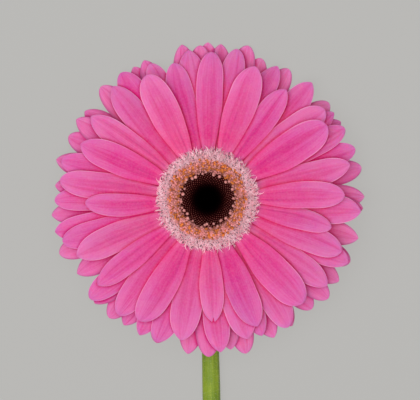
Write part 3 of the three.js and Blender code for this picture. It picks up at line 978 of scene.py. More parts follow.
@dataclass
class RayFlorets:
    """All the ray florets: three rows of single petals and the back whorl that is one piece."""

    head: HeadFrame
    material: bpy.types.Material
    back_material: bpy.types.Material
    rows: Sequence[str] = ("front_ray", "second_ray", "third_ray")
    lifts: Sequence[float] = (0.2 * MM, 0.3 * MM, 0.3 * MM)
    raised: Sequence[float] = (0.0, 0.5 * MM, 1.4 * MM, 2.2 * MM)
    longer: Sequence[float] = (0.0, 0.0, 0.5 * MM)
    back_longer: float = 0.9 * MM
    back_width: float = 9.2 * MM
    back_bearings: Sequence[float] = (
        0.2, 5, 15, 21, 31.5, 41, 51.5, 59.5, 78.5, 89, 93.7, 104.5, 113.5, 122, 129, 136.5, 146, 154.5,
        165.5, 171, 180, 187, 199.5, 213.5, 220, 227.5, 240.5, 250, 264.5, 275.5, 285, 294.5, 301.5, 306,
        317, 331, 335.5, 350.5, 357,
    )

    def rise(self, row: int, bearing: float) -> float:
        """How far a petal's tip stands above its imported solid: nothing on the side that rests."""
        return self.raised[row] * (1 - math.cos(bearing)) / 2

    def form(self, node: str, seed: int) -> PetalForm:
        """Form of a single petal: drawn by its seed, apart from a few with marks of their own.

        Args:
            node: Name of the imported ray.
            seed: Seed of its draw.

        Returns:
            The form.
        """
        form = PetalForm.grown(seed)
        if node == "front_ray_08":
            form.tip, form.grooves = Tip.NOTCHED, [(0.02, 0.8), (-0.4, 0.3), (0.42, 0.3)]
        if node == "front_ray_02":
            form.tip, form.grooves = Tip.POINTED, [(0.0, 1.0), (0.4, 0.2)]
        return form

    @staticmethod
    def middle_line(
        points: Array, foot_bearing: float, tip_bearing: float, foot: float, reach: float
    ) -> Array:
        """Height of a packed ray along its middle.

        Args:
            points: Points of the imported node, in the head's frame.
            foot_bearing: Bearing of the ray's foot.
            tip_bearing: Bearing of its tip.
            foot: Radius of the foot.
            reach: Radius of the tip.

        Returns:
            Radius and height of stations along the middle, from the foot to the tip.
        """
        stations = []
        for share in (0.0, 0.1, 0.26, 0.44, 0.62, 0.78, 0.9, 1.0):
            radius = foot + (reach - foot) * share
            bearing = foot_bearing + (tip_bearing - foot_bearing) * share**2
            target = polar(np.array(radius), np.array(bearing), np.array(0.0))
            gap = np.hypot(points[:, 0] - target[0], points[:, 1] - target[1])
            near = points[gap < gap.min() + 0.15 * MM]
            stations.append((radius, (near[:, 2].min() + near[:, 2].max()) / 2))
        coarse = np.array(stations)
        fine = np.linspace(foot, reach, 40)
        bend = np.polyfit(coarse[:, 0], coarse[:, 1], 3)
        return np.stack([fine, np.polyval(bend, fine)], axis=1)

    def single(self, node: str, row: int, seed: int) -> RayFloret:
        """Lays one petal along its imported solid.

        Args:
            node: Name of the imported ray.
            row: Its row, 0 for the front one.
            seed: Seed of its own form.

        Returns:
            The petal.
        """
        points, radius, bearing = self.head.polar_points(node)
        foot, reach = radius.min(), radius.max()
        rough = bearing[radius.argmax()]
        turned = (bearing - rough + math.pi) % (2 * math.pi) - math.pi
        at_tip = turned[radius > reach - 0.1 * MM]
        at_foot = turned[radius < foot + 0.06 * MM]
        tip_turn, foot_turn = (at_tip.min() + at_tip.max()) / 2, (at_foot.min() + at_foot.max()) / 2
        share = (radius - foot) / (reach - foot)
        middle = foot_turn + (tip_turn - foot_turn) * share**2
        width = 2 * np.abs(radius * np.sin(turned - middle)).max()
        line = self.middle_line(points, rough + foot_turn, rough + tip_turn, foot, reach)
        return RayFloret(
            rough + foot_turn, rough + tip_turn, foot, reach + self.longer[row], width, line,
            self.form(node, seed), lift=self.lifts[row], raised=self.rise(row, rough),
        )

    def back_whorl(self) -> list[RayFloret]:
        """Lays the petals of the back row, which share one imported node.

        Returns:
            The petals, in order of bearing.
        """
        points, radius, bearing = self.head.polar_points("back_rays")
        whorl = []
        for number, degrees in enumerate(self.back_bearings):
            at = math.radians(degrees)
            turned = np.abs((bearing - at + math.pi) % (2 * math.pi) - math.pi)
            reach = radius[turned < math.radians(1.6)].max()
            line = self.middle_line(points, at, at, radius.min(), reach)
            whorl.append(RayFloret(
                at, at, radius.min(), reach + self.back_longer, self.back_width, line,
                PetalForm.grown(500 + number), raised=self.rise(3, at),
            ))
        return whorl

    def build(self) -> list[bpy.types.Object]:
        """Makes every ray floret.

        Returns:
            The petals, front row first, and the back whorl.
        """
        singles = {}
        nodes = sorted(n for n in frame["nodes"] if n.startswith(tuple(self.rows)))
        for number, node in enumerate(nodes):
            row = next(i for i, prefix in enumerate(self.rows) if node.startswith(prefix))
            singles[node] = self.single(node, row, 11 + number)
        whorl = self.back_whorl()
        everyone = [*singles.values(), *whorl]
        made = []
        for node, floret in singles.items():
            surface = Surface()
            floret.add_to(surface, self.head, everyone)
            mesh = self.head.place(surface.mesh(f"petal_{node}"))
            made.append(show_piece(mesh, "ray", self.material, node))
        surface = Surface()
        for floret in whorl:
            floret.add_to(surface, self.head, everyone)
        mesh = self.head.place(surface.mesh("petals_back_whorl"))
        made.append(show_piece(mesh, "back_ray", self.back_material, "back_rays"))
        return made


# ---------------------------------------------------------------------------------------------- capitulum
class Layout(Enum):
    """How florets follow each other round the head."""

    SPIRAL = "spiral"
    RING = "ring"


@dataclass
class FloretScatter:
    """Geometry Nodes tree that sets small florets round the head's axis in a spiral or a ring."""

    name: str
    count: int
    inner: float
    outer: float
    height_inner: float
    height_outer: float
    crown: float
    lean_inner: float
    lean_outer: float
    layout: Layout = Layout.SPIRAL
    jitter: float = 0.1 * MM
    tumble: float = 0.15
    smallest: float = 0.85
    largest: float = 1.15
    seed: int = 1

    def tree(self, templates: bpy.types.Collection, material: bpy.types.Material) -> bpy.types.NodeTree:
        """Builds the node tree.

        Args:
            templates: Collection of the floret shapes it picks from.
            material: Material of the florets.

        Returns:
            The tree, with named inputs for its sizes.
        """
        nodes, given = new_growth(self.name, self.values())
        seed, jitter, tumble = given["Seed"], given["Jitter"], given["Tumble"]
        inner, outer = given["Inner radius"], given["Outer radius"]
        index = nodes.out("GeometryNodeInputIndex")
        # Equal areas for equal steps: the squared radius grows evenly.
        squares = [nodes.math("POWER", radius, 2.0) for radius in (inner, outer)]
        radius = nodes.math("SQRT", nodes.spread(nodes.math("DIVIDE", index, given["Count"]), *squares))
        angle = nodes.times(index, given["Turn"])
        slope = nodes.span(radius, inner, outer, 0.0, 1.0)
        level = nodes.spread(slope, given["Inner height"], given["Outer height"])
        arch = nodes.math("SINE", nodes.times(slope, math.pi))
        crown = nodes.math("MULTIPLY_ADD", arch, given["Crown"], level)
        east, north = (nodes.times(radius, nodes.math(way, angle)) for way in ("SINE", "COSINE"))
        place = nodes.vector(east, north, crown)
        shake = nodes.random("FLOAT_VECTOR", nodes.times(jitter, -1.0), jitter, ID=index, Seed=seed)
        moved = nodes.out("ShaderNodeVectorMath", {0: place, 1: shake}, operation="ADD")
        count = {"Count": given["Count"], "Position": moved, "Radius": POINT_RADIUS}
        points = nodes.out("GeometryNodePoints", count)
        lean = nodes.spread(slope, given["Inner lean"], given["Outer lean"])
        back = nodes.times(tumble, -1.0)
        pitch, roll, yaw = (
            nodes.random("FLOAT", back, tumble, ID=index, Seed=nodes.math("ADD", seed, offset))
            for offset in (1.0, 2.0, 3.0)
        )
        pitch, yaw = nodes.math("SUBTRACT", pitch, lean), nodes.math("SUBTRACT", yaw, angle)
        chosen = {"Collection": templates, "Separate Children": True, "Reset Children": True}
        placed = nodes.out("GeometryNodeInstanceOnPoints", {
            "Points": points,
            "Instance": nodes.out("GeometryNodeCollectionInfo", chosen),
            "Pick Instance": True,
            "Instance Index": nodes.random("INT", 0, len(templates.objects) - 1, ID=index, Seed=seed),
            "Rotation": nodes.out("FunctionNodeEulerToRotation", {0: nodes.vector(pitch, roll, yaw)}),
            "Scale": nodes.random("FLOAT", given["Smallest"], given["Largest"], ID=index, Seed=seed),
        })
        toned = nodes.store(placed, "tone", nodes.random("FLOAT", 0.0, 1.0, ID=index, Seed=seed))
        nodes.finish(nodes.store(toned, "share", nodes.math("DIVIDE", radius, outer)), material)
        return nodes.tree

    def values(self) -> dict[str, float | int]:
        """Values of the tree's named inputs."""
        turn = math.radians(GOLDEN_TURN) if self.layout is Layout.SPIRAL else 2 * math.pi / self.count
        return {
            "Inner radius": self.inner, "Outer radius": self.outer, "Inner height": self.height_inner,
            "Outer height": self.height_outer, "Crown": self.crown, "Inner lean": self.lean_inner,
            "Outer lean": self.lean_outer, "Turn": turn, "Jitter": self.jitter, "Tumble": self.tumble,
            "Smallest": self.smallest, "Largest": self.largest, "Count": self.count, "Seed": self.seed,
        }

    def mesh(self, templates: Sequence[bpy.types.Mesh], material: bpy.types.Material) -> bpy.types.Mesh:
        """Runs the tree.

        Args:
            templates: Shapes it picks from.
            material: Material of the florets.

        Returns:
            All the florets as one mesh, in the head's frame.
        """
        shelf = bpy.data.collections.new(f"{self.name}_templates")
        kept = []
        for number, mesh in enumerate(templates):
            template = bpy.data.objects.new(f"{self.name}_template_{number}", mesh)
            shelf.objects.link(template)
            kept.append(template)
        tree = self.tree(shelf, material)
        mesh = run_tree(tree, bpy.data.meshes.new(f"{self.name}_seat"), self.values(), self.name)
        for template in kept:
            bpy.data.objects.remove(template)
        bpy.data.collections.remove(shelf)
        return mesh


def run_tree(
    tree: bpy.types.NodeTree, seat: bpy.types.Mesh, values: Mapping[str, float | int], name: str
) -> bpy.types.Mesh:
    """Runs a Geometry Nodes tree on a mesh and keeps the result as a plain mesh.

    Args:
        tree: Tree to run.
        seat: Mesh that the tree starts from.
        values: Named input to value.
        name: Name of the result.

    Returns:
        The resulting mesh.
    """
    carrier = new_object(f"{name}_carrier", seat)
    modifier = carrier.modifiers.new("grow", "NODES")
    modifier.node_group = tree
    sockets = {s.name: s.identifier for s in tree.interface.items_tree if s.in_out == "INPUT"}
    for title, value in values.items():
        modifier[sockets[title]] = value
    graph = bpy.context.evaluated_depsgraph_get()
    mesh = bpy.data.meshes.new_from_object(carrier.evaluated_get(graph), depsgraph=graph)
    mesh.name = name
    bpy.data.objects.remove(carrier)
    bpy.data.meshes.remove(seat)
    bpy.data.node_groups.remove(tree)
    return mesh


@dataclass
class DiscBuds:
    """Closed buds in the middle of the head, in a golden spiral."""

    head: HeadFrame
    material: bpy.types.Material
    radius: float = 10.3 * MM
    pad_radius_mm: float = 9.2

    @staticmethod
    def bud() -> bpy.types.Mesh:
        """Makes one closed bud.

        Returns:
            A pointed dome about 0.7 mm across.
        """
        surface = Surface()
        profile = np.array([(0.3, -1.0), (0.39, 0.0), (0.32, 0.3), (0.17, 0.46), (0.13, 0.54), (0.03, 0.6)])
        surface.add_revolved(profile * MM, 6, {"along": np.array([0.0, 0.3, 0.6, 0.84, 0.95, 1.0])})
        return surface.mesh("bud_template")

    def build(self) -> bpy.types.Object:
        """Makes the disc of buds on a dished pad.

        Returns:
            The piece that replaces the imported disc.
        """
        foot = self.head.foot_of("disc_buds")
        scatter = FloretScatter(
            "disc_buds_spiral", count=640, inner=0.0, outer=self.radius, height_inner=foot + 1.4 * MM,
            height_outer=foot + 2.1 * MM, crown=0.6 * MM, lean_inner=0.0, lean_outer=0.35,
            jitter=0.04 * MM, tumble=0.08, smallest=0.94, largest=1.06, seed=5,
        )
        mesh = scatter.mesh([self.bud()], self.material)
        pad = [(0.4, 0.0), (8.5, 0.0), (9.3, 0.8), (9.4, 1.7), (6.0, 2.0), (3.0, 1.6), (0.3, 1.3)]
        values = {"along": 0.0, "tone": 0.3, "share": np.array(pad)[:, 0] / self.pad_radius_mm}
        mesh = on_bed(self.head, "disc_of_closed_buds", mesh, pad, foot, 48, values, looped=False)
        return show_piece(mesh, "disc_bud", self.material, "disc_buds")


def on_bed(
    head: HeadFrame, name: str, florets: bpy.types.Mesh, profile_mm: Profile, foot: float, sides: int,
    values: Mapping[str, Array | float], looped: bool = True,
) -> bpy.types.Mesh:
    """Sets florets on the bed that they grow from.

    Args:
        head: Frame of the head.
        name: Name of the result.
        florets: The florets, in the head's frame.
        profile_mm: Section of the bed in mm, measured from its foot.
        foot: Height of the foot, in the head's frame.
        sides: Number of the bed's sides.
        values: Attributes of the bed.
        looped: Whether the bed is a ring and not a pad.

    Returns:
        Both as one mesh, in the row's frame.
    """
    bed = Surface()
    bed.add_revolved(np.array(profile_mm) * MM + np.array([0.0, foot]), sides, values, looped=looped)
    return head.place(join_meshes(name, [florets, bed.mesh("bed")]))


def join_meshes(name: str, meshes: Sequence[bpy.types.Mesh]) -> bpy.types.Mesh:
    """Joins meshes and their number attributes.

    Args:
        name: Name of the result.
        meshes: Meshes to join; they are removed.

    Returns:
        One mesh.
    """
    surface = Surface()
    keys = sorted({a.name for m in meshes for a in m.attributes if usable(a)})
    for mesh in meshes:
        values = {}
        for key in keys:
            numbers = np.zeros(len(mesh.vertices), np.float32)
            layer = mesh.attributes.get(key)
            if layer is not None:
                layer.data.foreach_get("value", numbers)
            values[key] = numbers
        faces = [tuple(p.vertices) for p in mesh.polygons]
        surface.add(coordinates(mesh), faces, values)
        bpy.data.meshes.remove(mesh)
    return surface.mesh(name)


def usable(attribute: bpy.types.Attribute) -> bool:
    """Whether an attribute is a number on points that materials read."""
    return attribute.domain == "POINT" and attribute.data_type == "FLOAT" and not attribute.is_internal


def add_column(
    surface: Surface, profile_mm: Profile, sides: int, accent: float, lobes: int, depth: float
) -> None:
    """Adds the lobed column that a small floret is built round.

    Args:
        surface: Surface that gets it.
        profile_mm: Radius and height of its rings in mm, from the foot up.
        sides: Number of sides.
        accent: How far it takes the finish's accent colour.
        lobes: Number of lobes round it.
        depth: Depth of the grooves between lobes, as a share of the radius.
    """
    values = {"along": np.linspace(0, 1, len(profile_mm)), "accent": accent}
    surface.add_revolved(np.array(profile_mm) * MM, sides, values, lobes=lobes, depth=depth)


@dataclass
class OpenDiscFlorets:
    """Ring of open disc florets: pollen-laden anthers among pink styles, and pale knobs at its inner edge."""

    head: HeadFrame
    pollen: bpy.types.Material
    knobs: bpy.types.Material
    inner: float = 10.2 * MM
    outer: float = 14.1 * MM
    knob_radius: float = 9.6 * MM

    @staticmethod
    def anther(seed: int) -> bpy.types.Mesh:
        """Makes a tube of anthers topped with pollen.

        Args:
            seed: Seed of its lumps.

        Returns:
            A slim column with a split, lumpy top.
        """
        random = np.random.default_rng(seed)
        surface = Surface()
        profile = [(0.2, -1.7), (0.24, -0.6), (0.3, -0.1), (0.36, 0.25), (0.3, 0.5), (0.1, 0.58)]
        add_column(surface, profile, sides=8, accent=0.0, lobes=3, depth=0.2)
        for _ in range(4):
            turn = random.uniform(0, 2 * math.pi)
            out, rise = random.uniform(0.15, 0.42), random.uniform(0.1, 0.6)
            at = np.array([out * math.cos(turn), out * math.sin(turn), rise]) * MM
            grain = np.array([(0.05, -0.16), (0.16, -0.06), (0.15, 0.07), (0.05, 0.16)]) * MM
            surface.add_revolved(grain, 5, {"along": 1.0, "accent": 0.0}, centre=at)
        return surface.mesh(f"pollen_template_{seed}")

    @staticmethod
    def style(seed: int) -> bpy.types.Mesh:
        """Makes a style with two rolled-back arms, and corolla lobes curled back round it.

        Args:
            seed: Seed of its lobes.

        Returns:
            A slim column with rounded arms and small curled lobes.
        """
        random = np.random.default_rng(seed)
        surface = Surface()
        profile = [(0.14, -1.7), (0.17, 0.0), (0.26, 0.25), (0.27, 0.5), (0.16, 0.68), (0.05, 0.72)]
        add_column(surface, profile, sides=6, accent=1.0, lobes=2, depth=0.16)
        for lobe in range(4):
            turn = 2 * math.pi * lobe / 4 + random.uniform(-0.5, 0.5)
            steps = np.linspace(0, 1, 5)
            out = 0.12 + random.uniform(0.45, 0.75) * np.sin(steps * 2.2)
            rise = -0.4 + random.uniform(0.5, 0.9) * steps - 0.5 * steps**2
            path = np.stack([out * math.cos(turn), out * math.sin(turn), rise], axis=1) * MM
            width = np.array([0.14, 0.16, 0.15, 0.12, 0.06]) * MM
            surface.add_tube(
                path, width, 4, {"along": steps, "accent": random.uniform(0.6, 1.0)}, flat=0.5,
                side=(-math.sin(turn), math.cos(turn), 0.0),
            )
        return surface.mesh(f"style_template_{seed}")

    @staticmethod
    def knob() -> bpy.types.Mesh:
        """Makes a floret about to open.

        Returns:
            A five-lobed ball on a neck, about a millimetre across.
        """
        surface = Surface()
        profile = [
            (0.2, -1.4), (0.24, -0.3), (0.42, 0.0), (0.52, 0.3), (0.44, 0.62), (0.2, 0.82), (0.05, 0.8),
        ]
        add_column(surface, profile, sides=10, accent=0.0, lobes=5, depth=0.1)
        return surface.mesh("knob_template")

    def build(self) -> list[bpy.types.Object]:
        """Makes the ring on its seat, and the knobs.

        Returns:
            The ring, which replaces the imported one, and the knobs.
        """
        foot = self.head.foot_of("open_disc_florets")
        ring = FloretScatter(
            "open_disc_florets_spiral", count=560, inner=self.inner, outer=self.outer,
            height_inner=foot + 2.6 * MM, height_outer=foot + 2.5 * MM, crown=0.7 * MM, lean_inner=-0.1,
            lean_outer=0.45, jitter=0.38 * MM, tumble=0.45, smallest=0.75, largest=1.25, seed=11,
        )
        shapes = [self.anther(1), self.style(2), self.anther(3), self.style(4), self.style(6)]
        mesh = ring.mesh(shapes, self.pollen)
        seat = [
            (9.4, 0.0), (10.7, 0.0), (12.0, 1.2), (13.9, 1.8),
            (13.4, 2.4), (11.8, 2.7), (9.9, 2.2), (9.3, 1.2),
        ]
        values = {"along": 0.3, "accent": 0.3, "tone": 0.0}
        mesh = on_bed(self.head, "ring_of_open_disc_florets", mesh, seat, foot, 72, values)
        made = [show_piece(mesh, "anther", self.pollen, "open_disc_florets")]
        row = FloretScatter(
            "opening_knobs_ring", count=40, inner=self.knob_radius, outer=self.knob_radius,
            height_inner=foot + 3.0 * MM, height_outer=foot + 3.0 * MM, crown=0.0, lean_inner=-0.25,
            lean_outer=-0.25, layout=Layout.RING, jitter=0.85 * MM, tumble=0.35, smallest=0.8,
            largest=1.25, seed=5,
        )
        knobs = self.head.place(row.mesh([self.knob()], self.knobs))
        knobs.name = "knobs_about_to_open"
        made.append(show_piece(knobs, "anther", self.knobs))
        return made


@dataclass
class TransFlorets:
    """Fringe of small pale two-lipped florets between the disc and the rays."""

    head: HeadFrame
    material: bpy.types.Material
    inner: float = 13.2 * MM
    outer: float = 16.8 * MM
    shapes: int = 9

    @staticmethod
    def floret(seed: int) -> bpy.types.Mesh:
        """Makes one trans floret.

        Args:
            seed: Seed of its curls.

        Returns:
            An outer strap, two curled threads and a dark style tip.
        """
        random = np.random.default_rng(seed)
        surface = Surface()
        steps = np.linspace(0, 1, 6)
        for part in range(5):
            turn = random.uniform(-1.3, 1.3)
            long = random.uniform(2.0, 3.0) if part < 2 else random.uniform(1.3, 2.2)
            climb = random.uniform(0.1, 0.9) + random.uniform(-1.3, 0.9) * steps
            swing = turn + random.uniform(-2.6, 2.6) * steps**1.3
            step = long / 5 * np.stack(
                [np.cos(climb) * np.sin(swing), np.cos(climb) * np.cos(swing), np.sin(climb)], axis=1
            )
            foot = np.array([random.uniform(-0.4, 0.4), random.uniform(-0.4, 0.3), random.uniform(-0.2, 0.4)])
            path = (foot + np.cumsum(step, axis=0)) * MM
            wide = (0.09 if part < 2 else 0.07) * np.array([1.0, 1.0, 0.95, 0.85, 0.65, 0.3]) * MM
            surface.add_tube(path, wide, 4, {"along": steps, "accent": 0.0}, flat=0.5)
        start = np.array([random.uniform(-0.6, 0.6), random.uniform(-0.2, 1.0), 0.5])
        lean = np.array([random.uniform(-0.5, 0.5), random.uniform(-0.2, 0.6), 0.8])
        short = np.linspace(0, 1, 3)[:, None]
        surface.add_tube(
            (start + lean * short) * MM, np.array([0.07, 0.12, 0.06]) * MM, 4,
            {"along": short[:, 0], "accent": 1.0}, side=(1.0, 0.1, 0.0),
        )
        return surface.mesh(f"trans_floret_template_{seed}")

    def build(self) -> bpy.types.Object:
        """Makes the fringe.

        Returns:
            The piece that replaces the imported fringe.
        """
        foot = self.head.foot_of("trans_florets")
        scatter = FloretScatter(
            "trans_florets_spiral", count=600, inner=self.inner, outer=self.outer,
            height_inner=foot + 1.9 * MM, height_outer=foot + 0.9 * MM, crown=0.4 * MM, lean_inner=-0.1,
            lean_outer=0.3, jitter=0.7 * MM, tumble=0.4, smallest=0.8, largest=1.15, seed=21,
        )
        mesh = scatter.mesh([self.floret(seed) for seed in range(self.shapes)], self.material)
        bed = [
            (12.9, 0.0), (14.4, 0.1), (16.2, 0.2), (17.0, 0.4),
            (16.4, 0.9), (15.3, 1.4), (13.9, 1.5), (13.1, 1.0),
        ]
        values = {"along": 0.1, "accent": 0.0, "tone": 0.6}
        mesh = on_bed(self.head, "fringe_of_trans_florets", mesh, bed, foot, 96, values)
        return show_piece(mesh, "trans_floret", self.material, "trans_florets")


# ------------------------------------------------------------------------------------- bracts, stem and down
@dataclass
class DownScatter:
    """Geometry Nodes tree that grows fine hairs from a surface."""

    density: float
    length: float
    seed: int = 7

    def mesh(self, skin: bpy.types.Mesh, material: bpy.types.Material, name: str) -> bpy.types.Mesh:
        """Grows hairs on a mesh.

        Args:
            skin: Surface that carries the hairs.
            material: Material of the hairs.
            name: Name of the result.

        Returns:
            The hairs as one mesh.
        """
        hair = Surface()
        steps = np.array([0.0, 1.0])
        path = np.stack([0.25 * steps, 0 * steps, steps], axis=1)
        hair.add_tube(path, np.array([0.03, 0.008]), 3, {"along": steps}, side=(0.0, 1.0, 0.0))
        shelf = bpy.data.objects.new(f"{name}_hair", hair.mesh(f"{name}_hair"))
        values = {"Density": self.density, "Length": self.length, "Seed": self.seed}
        nodes, given = new_growth(name, values, fed=True)
        cut = nodes.out("GeometryNodeInputNamedAttribute", {"Name": "cut"}, data_type="FLOAT")
        spread = add_node(nodes.tree, "GeometryNodeDistributePointsOnFaces", {
            "Mesh": given["Geometry"], "Selection": nodes.math("LESS_THAN", cut, 0.05),
            "Density": given["Density"], "Seed": given["Seed"],
        }).outputs
        tumble = nodes.random("FLOAT_VECTOR", (-0.5, -0.5, -3.1), (0.5, 0.5, 3.1), Seed=given["Seed"])
        bent = nodes.out("FunctionNodeEulerToRotation", {0: tumble})
        lean = {0: spread["Rotation"], 1: bent}
        placed = nodes.out("GeometryNodeInstanceOnPoints", {
            "Points": spread["Points"],
            "Instance": nodes.out("GeometryNodeObjectInfo", {"Object": shelf}, "Geometry"),
            "Rotation": nodes.out("FunctionNodeRotateRotation", lean, rotation_space="LOCAL"),
            "Scale": nodes.times(nodes.random("FLOAT", 0.5, 1.2, Seed=given["Seed"]), given["Length"]),
        })
        nodes.finish(placed, material)
        mesh = run_tree(nodes.tree, skin.copy(), values, name)
        bpy.data.objects.remove(shelf)
        return mesh


@dataclass
class Involucre:
    """Green bracts that cup the head from below, in two packed whorls."""

    head: HeadFrame
    material: bpy.types.Material
    down: bpy.types.Material
    counts: Mapping[str, int] = field(default_factory=lambda: {"inner_bracts": 18, "outer_bracts": 16})
    width: float = 4.6 * MM
    thickness: float = 0.55 * MM

    def whorl(self, node: str) -> list[bpy.types.Object]:
        """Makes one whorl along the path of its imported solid.

        Args:
            node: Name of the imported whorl.

        Returns:
            The bracts and the hairs on them.
        """
        points, radius, _ = self.head.polar_points(node)
        edges = np.linspace(radius.min(), radius.max(), 12)
        path = []
        for low, high in zip(edges[:-1], edges[1:]):
            ring = points[(radius >= low - 1e-9) & (radius <= high)]
            if len(ring):
                path.append(((low + high) / 2, ring[:, 2].mean()))
        line = np.array(path)
        line[0, 0], line[-1, 0] = edges[0], edges[-1]
        bend = np.polyfit(line[:, 0], line[:, 1], 4)
        surface = Surface()
        count = self.counts[node]
        for number in range(count):
            self.bract(surface, bend, edges[0], edges[-1], 2 * math.pi * (number + 0.5) / count, number)
        mesh = self.head.place(surface.mesh(f"whorl_of_{node}"))
        down = DownScatter(density=2.4e6, length=0.6 * MM, seed=len(node))
        hairs = down.mesh(mesh, self.down, f"down_on_{node}")
        return [show_piece(mesh, "bract", self.material, node), show_piece(hairs, "bract", self.down)]

    def bract(
        self, surface: Surface, bend: Array, foot: float, reach: float, bearing: float, seed: int
    ) -> None:
        """Adds one lance-shaped bract.

        Args:
            surface: Surface that gets it.
            bend: Polynomial of height over radius.
            foot: Radius of its foot.
            reach: Radius of its tip.
            bearing: Bearing of its middle.
            seed: Seed of its variation.
        """
        random = np.random.default_rng(900 + seed)
        share = np.linspace(0, 1, 18)[:, None]
        columns = np.sin(np.linspace(-1, 1, 9) * math.pi / 2)[None]
        longer = reach + random.uniform(-0.9, 0.5) * MM
        radius = foot + (longer - foot) * share
        outline = np.clip(0.42 + 1.1 * share, 0, 1) * np.sqrt(np.clip(1 - share**3.2, 0, 1))
        outline = np.maximum(outline, 0.04)
        across = columns * outline * self.width / 2
        plan = polar(radius + 0 * columns, bearing + 0 * across, 0 * across)
        plan += polar(across, bearing + 0 * across + math.pi / 2, 0 * across)
        keel = -0.5 * MM * (1 - np.abs(columns)) * (1 - share)
        # Every other bract lies a little further out, so that neighbours overlap like tiles.
        outward = -0.12 * MM * (seed % 2) + random.uniform(-0.05, 0.05) * MM
        plan[..., 2] = np.polyval(bend, np.hypot(plan[..., 0], plan[..., 1])) + keel + outward
        half = self.thickness / 2 * np.sqrt(np.clip(1 - columns**4, 0, 1)) * np.ones_like(share)
        values = {"along": share, "across": 0.3 * columns, "tone": random.uniform(0, 9), "cut": 0.0}
        surface.add_blade(plan, half, values)

    def build(self) -> list[bpy.types.Object]:
        """Makes both whorls.

        Returns:
            The bracts and their hairs.
        """
        return [piece for node in self.counts for piece in self.whorl(node)]


@dataclass
class Stem:
    """Leafless hairy stem: it leaves the head along its axis, bends down and lies on the surface."""

    head: HeadFrame
    material: bpy.types.Material
    down: bpy.types.Material
    bend_radius: float = 12 * MM
    neck_radius: float = 3.3 * MM
    cut_radius: float = 3.9 * MM
    flare: float = 0.7 * MM
    flare_run: float = 9 * MM
    bow: float = 2.4 * MM
    slope: float = 0.45
    ribs: int = 9
    sides: int = 54
    slack: float = 0.22 * MM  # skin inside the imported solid, which leaves room for the hairs
    cut_rings: Sequence[float] = (0.93, 0.8, 0.6, 0.35, 0.12)
    cut_pale: Sequence[float] = (0.25, 0.6, 0.85, 1.0, 1.0)
    length: float = 0.4

    def centreline(self) -> tuple[Array, Array]:
        """Finds the stem's middle line and radii.

        Returns:
            Points from the head to the cut, and the radius at each.
        """
        low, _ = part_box("stem")
        turn = np.linspace(FACE_TILT, math.pi / 2, 22)
        top = self.head.origin - Vector((0.0, math.sin(FACE_TILT), math.cos(FACE_TILT))) * 0.3 * MM
        y = top.y - self.bend_radius * (math.cos(FACE_TILT) - np.cos(turn))
        z = top.z - self.bend_radius * (np.sin(turn) - math.sin(FACE_TILT))
        bent = np.stack([np.full(len(turn), top.x), y, z], axis=1)
        end = low.y + self.cut_radius * self.slope
        share = np.linspace(0, 1, 120)[1:]
        length = y[-1] - end
        arc = self.bend_radius * (math.pi / 2 - FACE_TILT)
        radii_bent = self.radius(self.bend_radius * (turn - FACE_TILT))
        radii = self.radius(arc + length * share)
        straight = np.stack(
            [top.x + self.bow * np.sin(math.pi * share), y[-1] - length * share, radii], axis=1
        )
        return np.concatenate([bent, straight]), np.concatenate([radii_bent, radii])

    def radius(self, distance: Array) -> Array:
        """Radius at a distance along the stem from the head."""
        taper = self.neck_radius + (self.cut_radius - self.neck_radius) * distance / self.length
        return taper + self.flare * np.clip(1 - distance / self.flare_run, 0, 1) ** 2

    def build(self) -> list[bpy.types.Object]:
        """Makes the stem with its cut face, and its hairs.

        Returns:
            The stem and the hairs.
        """
        path, radii = self.centreline()
        heading = unit(np.gradient(path, axis=0))
        side = unit(np.cross(heading, np.array([0.0, 0.0, 1.0])))
        above = np.cross(side, heading)
        turn = turns(self.sides)
        along = np.arange(len(path))[:, None] / len(path)
        # Shallow ribs that wander round the stem, flat where it rests.
        rib = 0.07 * MM * np.cos(self.ribs * turn[None] + 3 * along)
        swell = 0.06 * MM * np.sin(along * 23) + 0.05 * MM * np.sin(along * 61 + 1.3)
        resting = np.clip(-np.sin(turn[None]), 0, 1)
        reach = radii[:, None] + (rib + swell) * (1 - resting) - self.slack
        path[:, 2] -= self.slack - 0.04 * MM
        slant = np.zeros(len(path))
        slant[-1] = self.slope
        offset_side = np.cos(turn)[None] * reach
        offset_up = np.sin(turn)[None] * reach
        points = (
            path[:, None]
            - side[:, None] * offset_side[..., None]
            + above[:, None] * offset_up[..., None]
            + heading[:, None] * (slant[:, None] * offset_up)[..., None]
        )
        last = points[-1]
        middle = last.mean(0)
        face = [middle + (last - middle) * share for share in self.cut_rings]
        points = np.concatenate([points, np.array(face)])
        rows = len(points)
        faces = capped_faces(np.arange(rows * self.sides).reshape(rows, self.sides))
        cut = np.zeros((rows, self.sides))
        cut[-len(self.cut_pale):] = np.array(self.cut_pale)[:, None]
        steps = np.linspace(0, 12, rows)
        surface = Surface()
        surface.add(points.reshape(-1, 3), faces, {
            "along": np.repeat(steps, self.sides), "across": np.tile(np.abs(turn - math.pi) / math.pi, rows),
            "tone": 0.0, "cut": cut.ravel(),
        })
        mesh = surface.mesh("hairy_stem")
        hairs = DownScatter(density=1.8e6, length=0.6 * MM, seed=4).mesh(mesh, self.down, "down_on_stem")
        keep_above_surface(hairs)
        return [show_piece(mesh, "stem", self.material, "stem"), show_piece(hairs, "stem", self.down)]


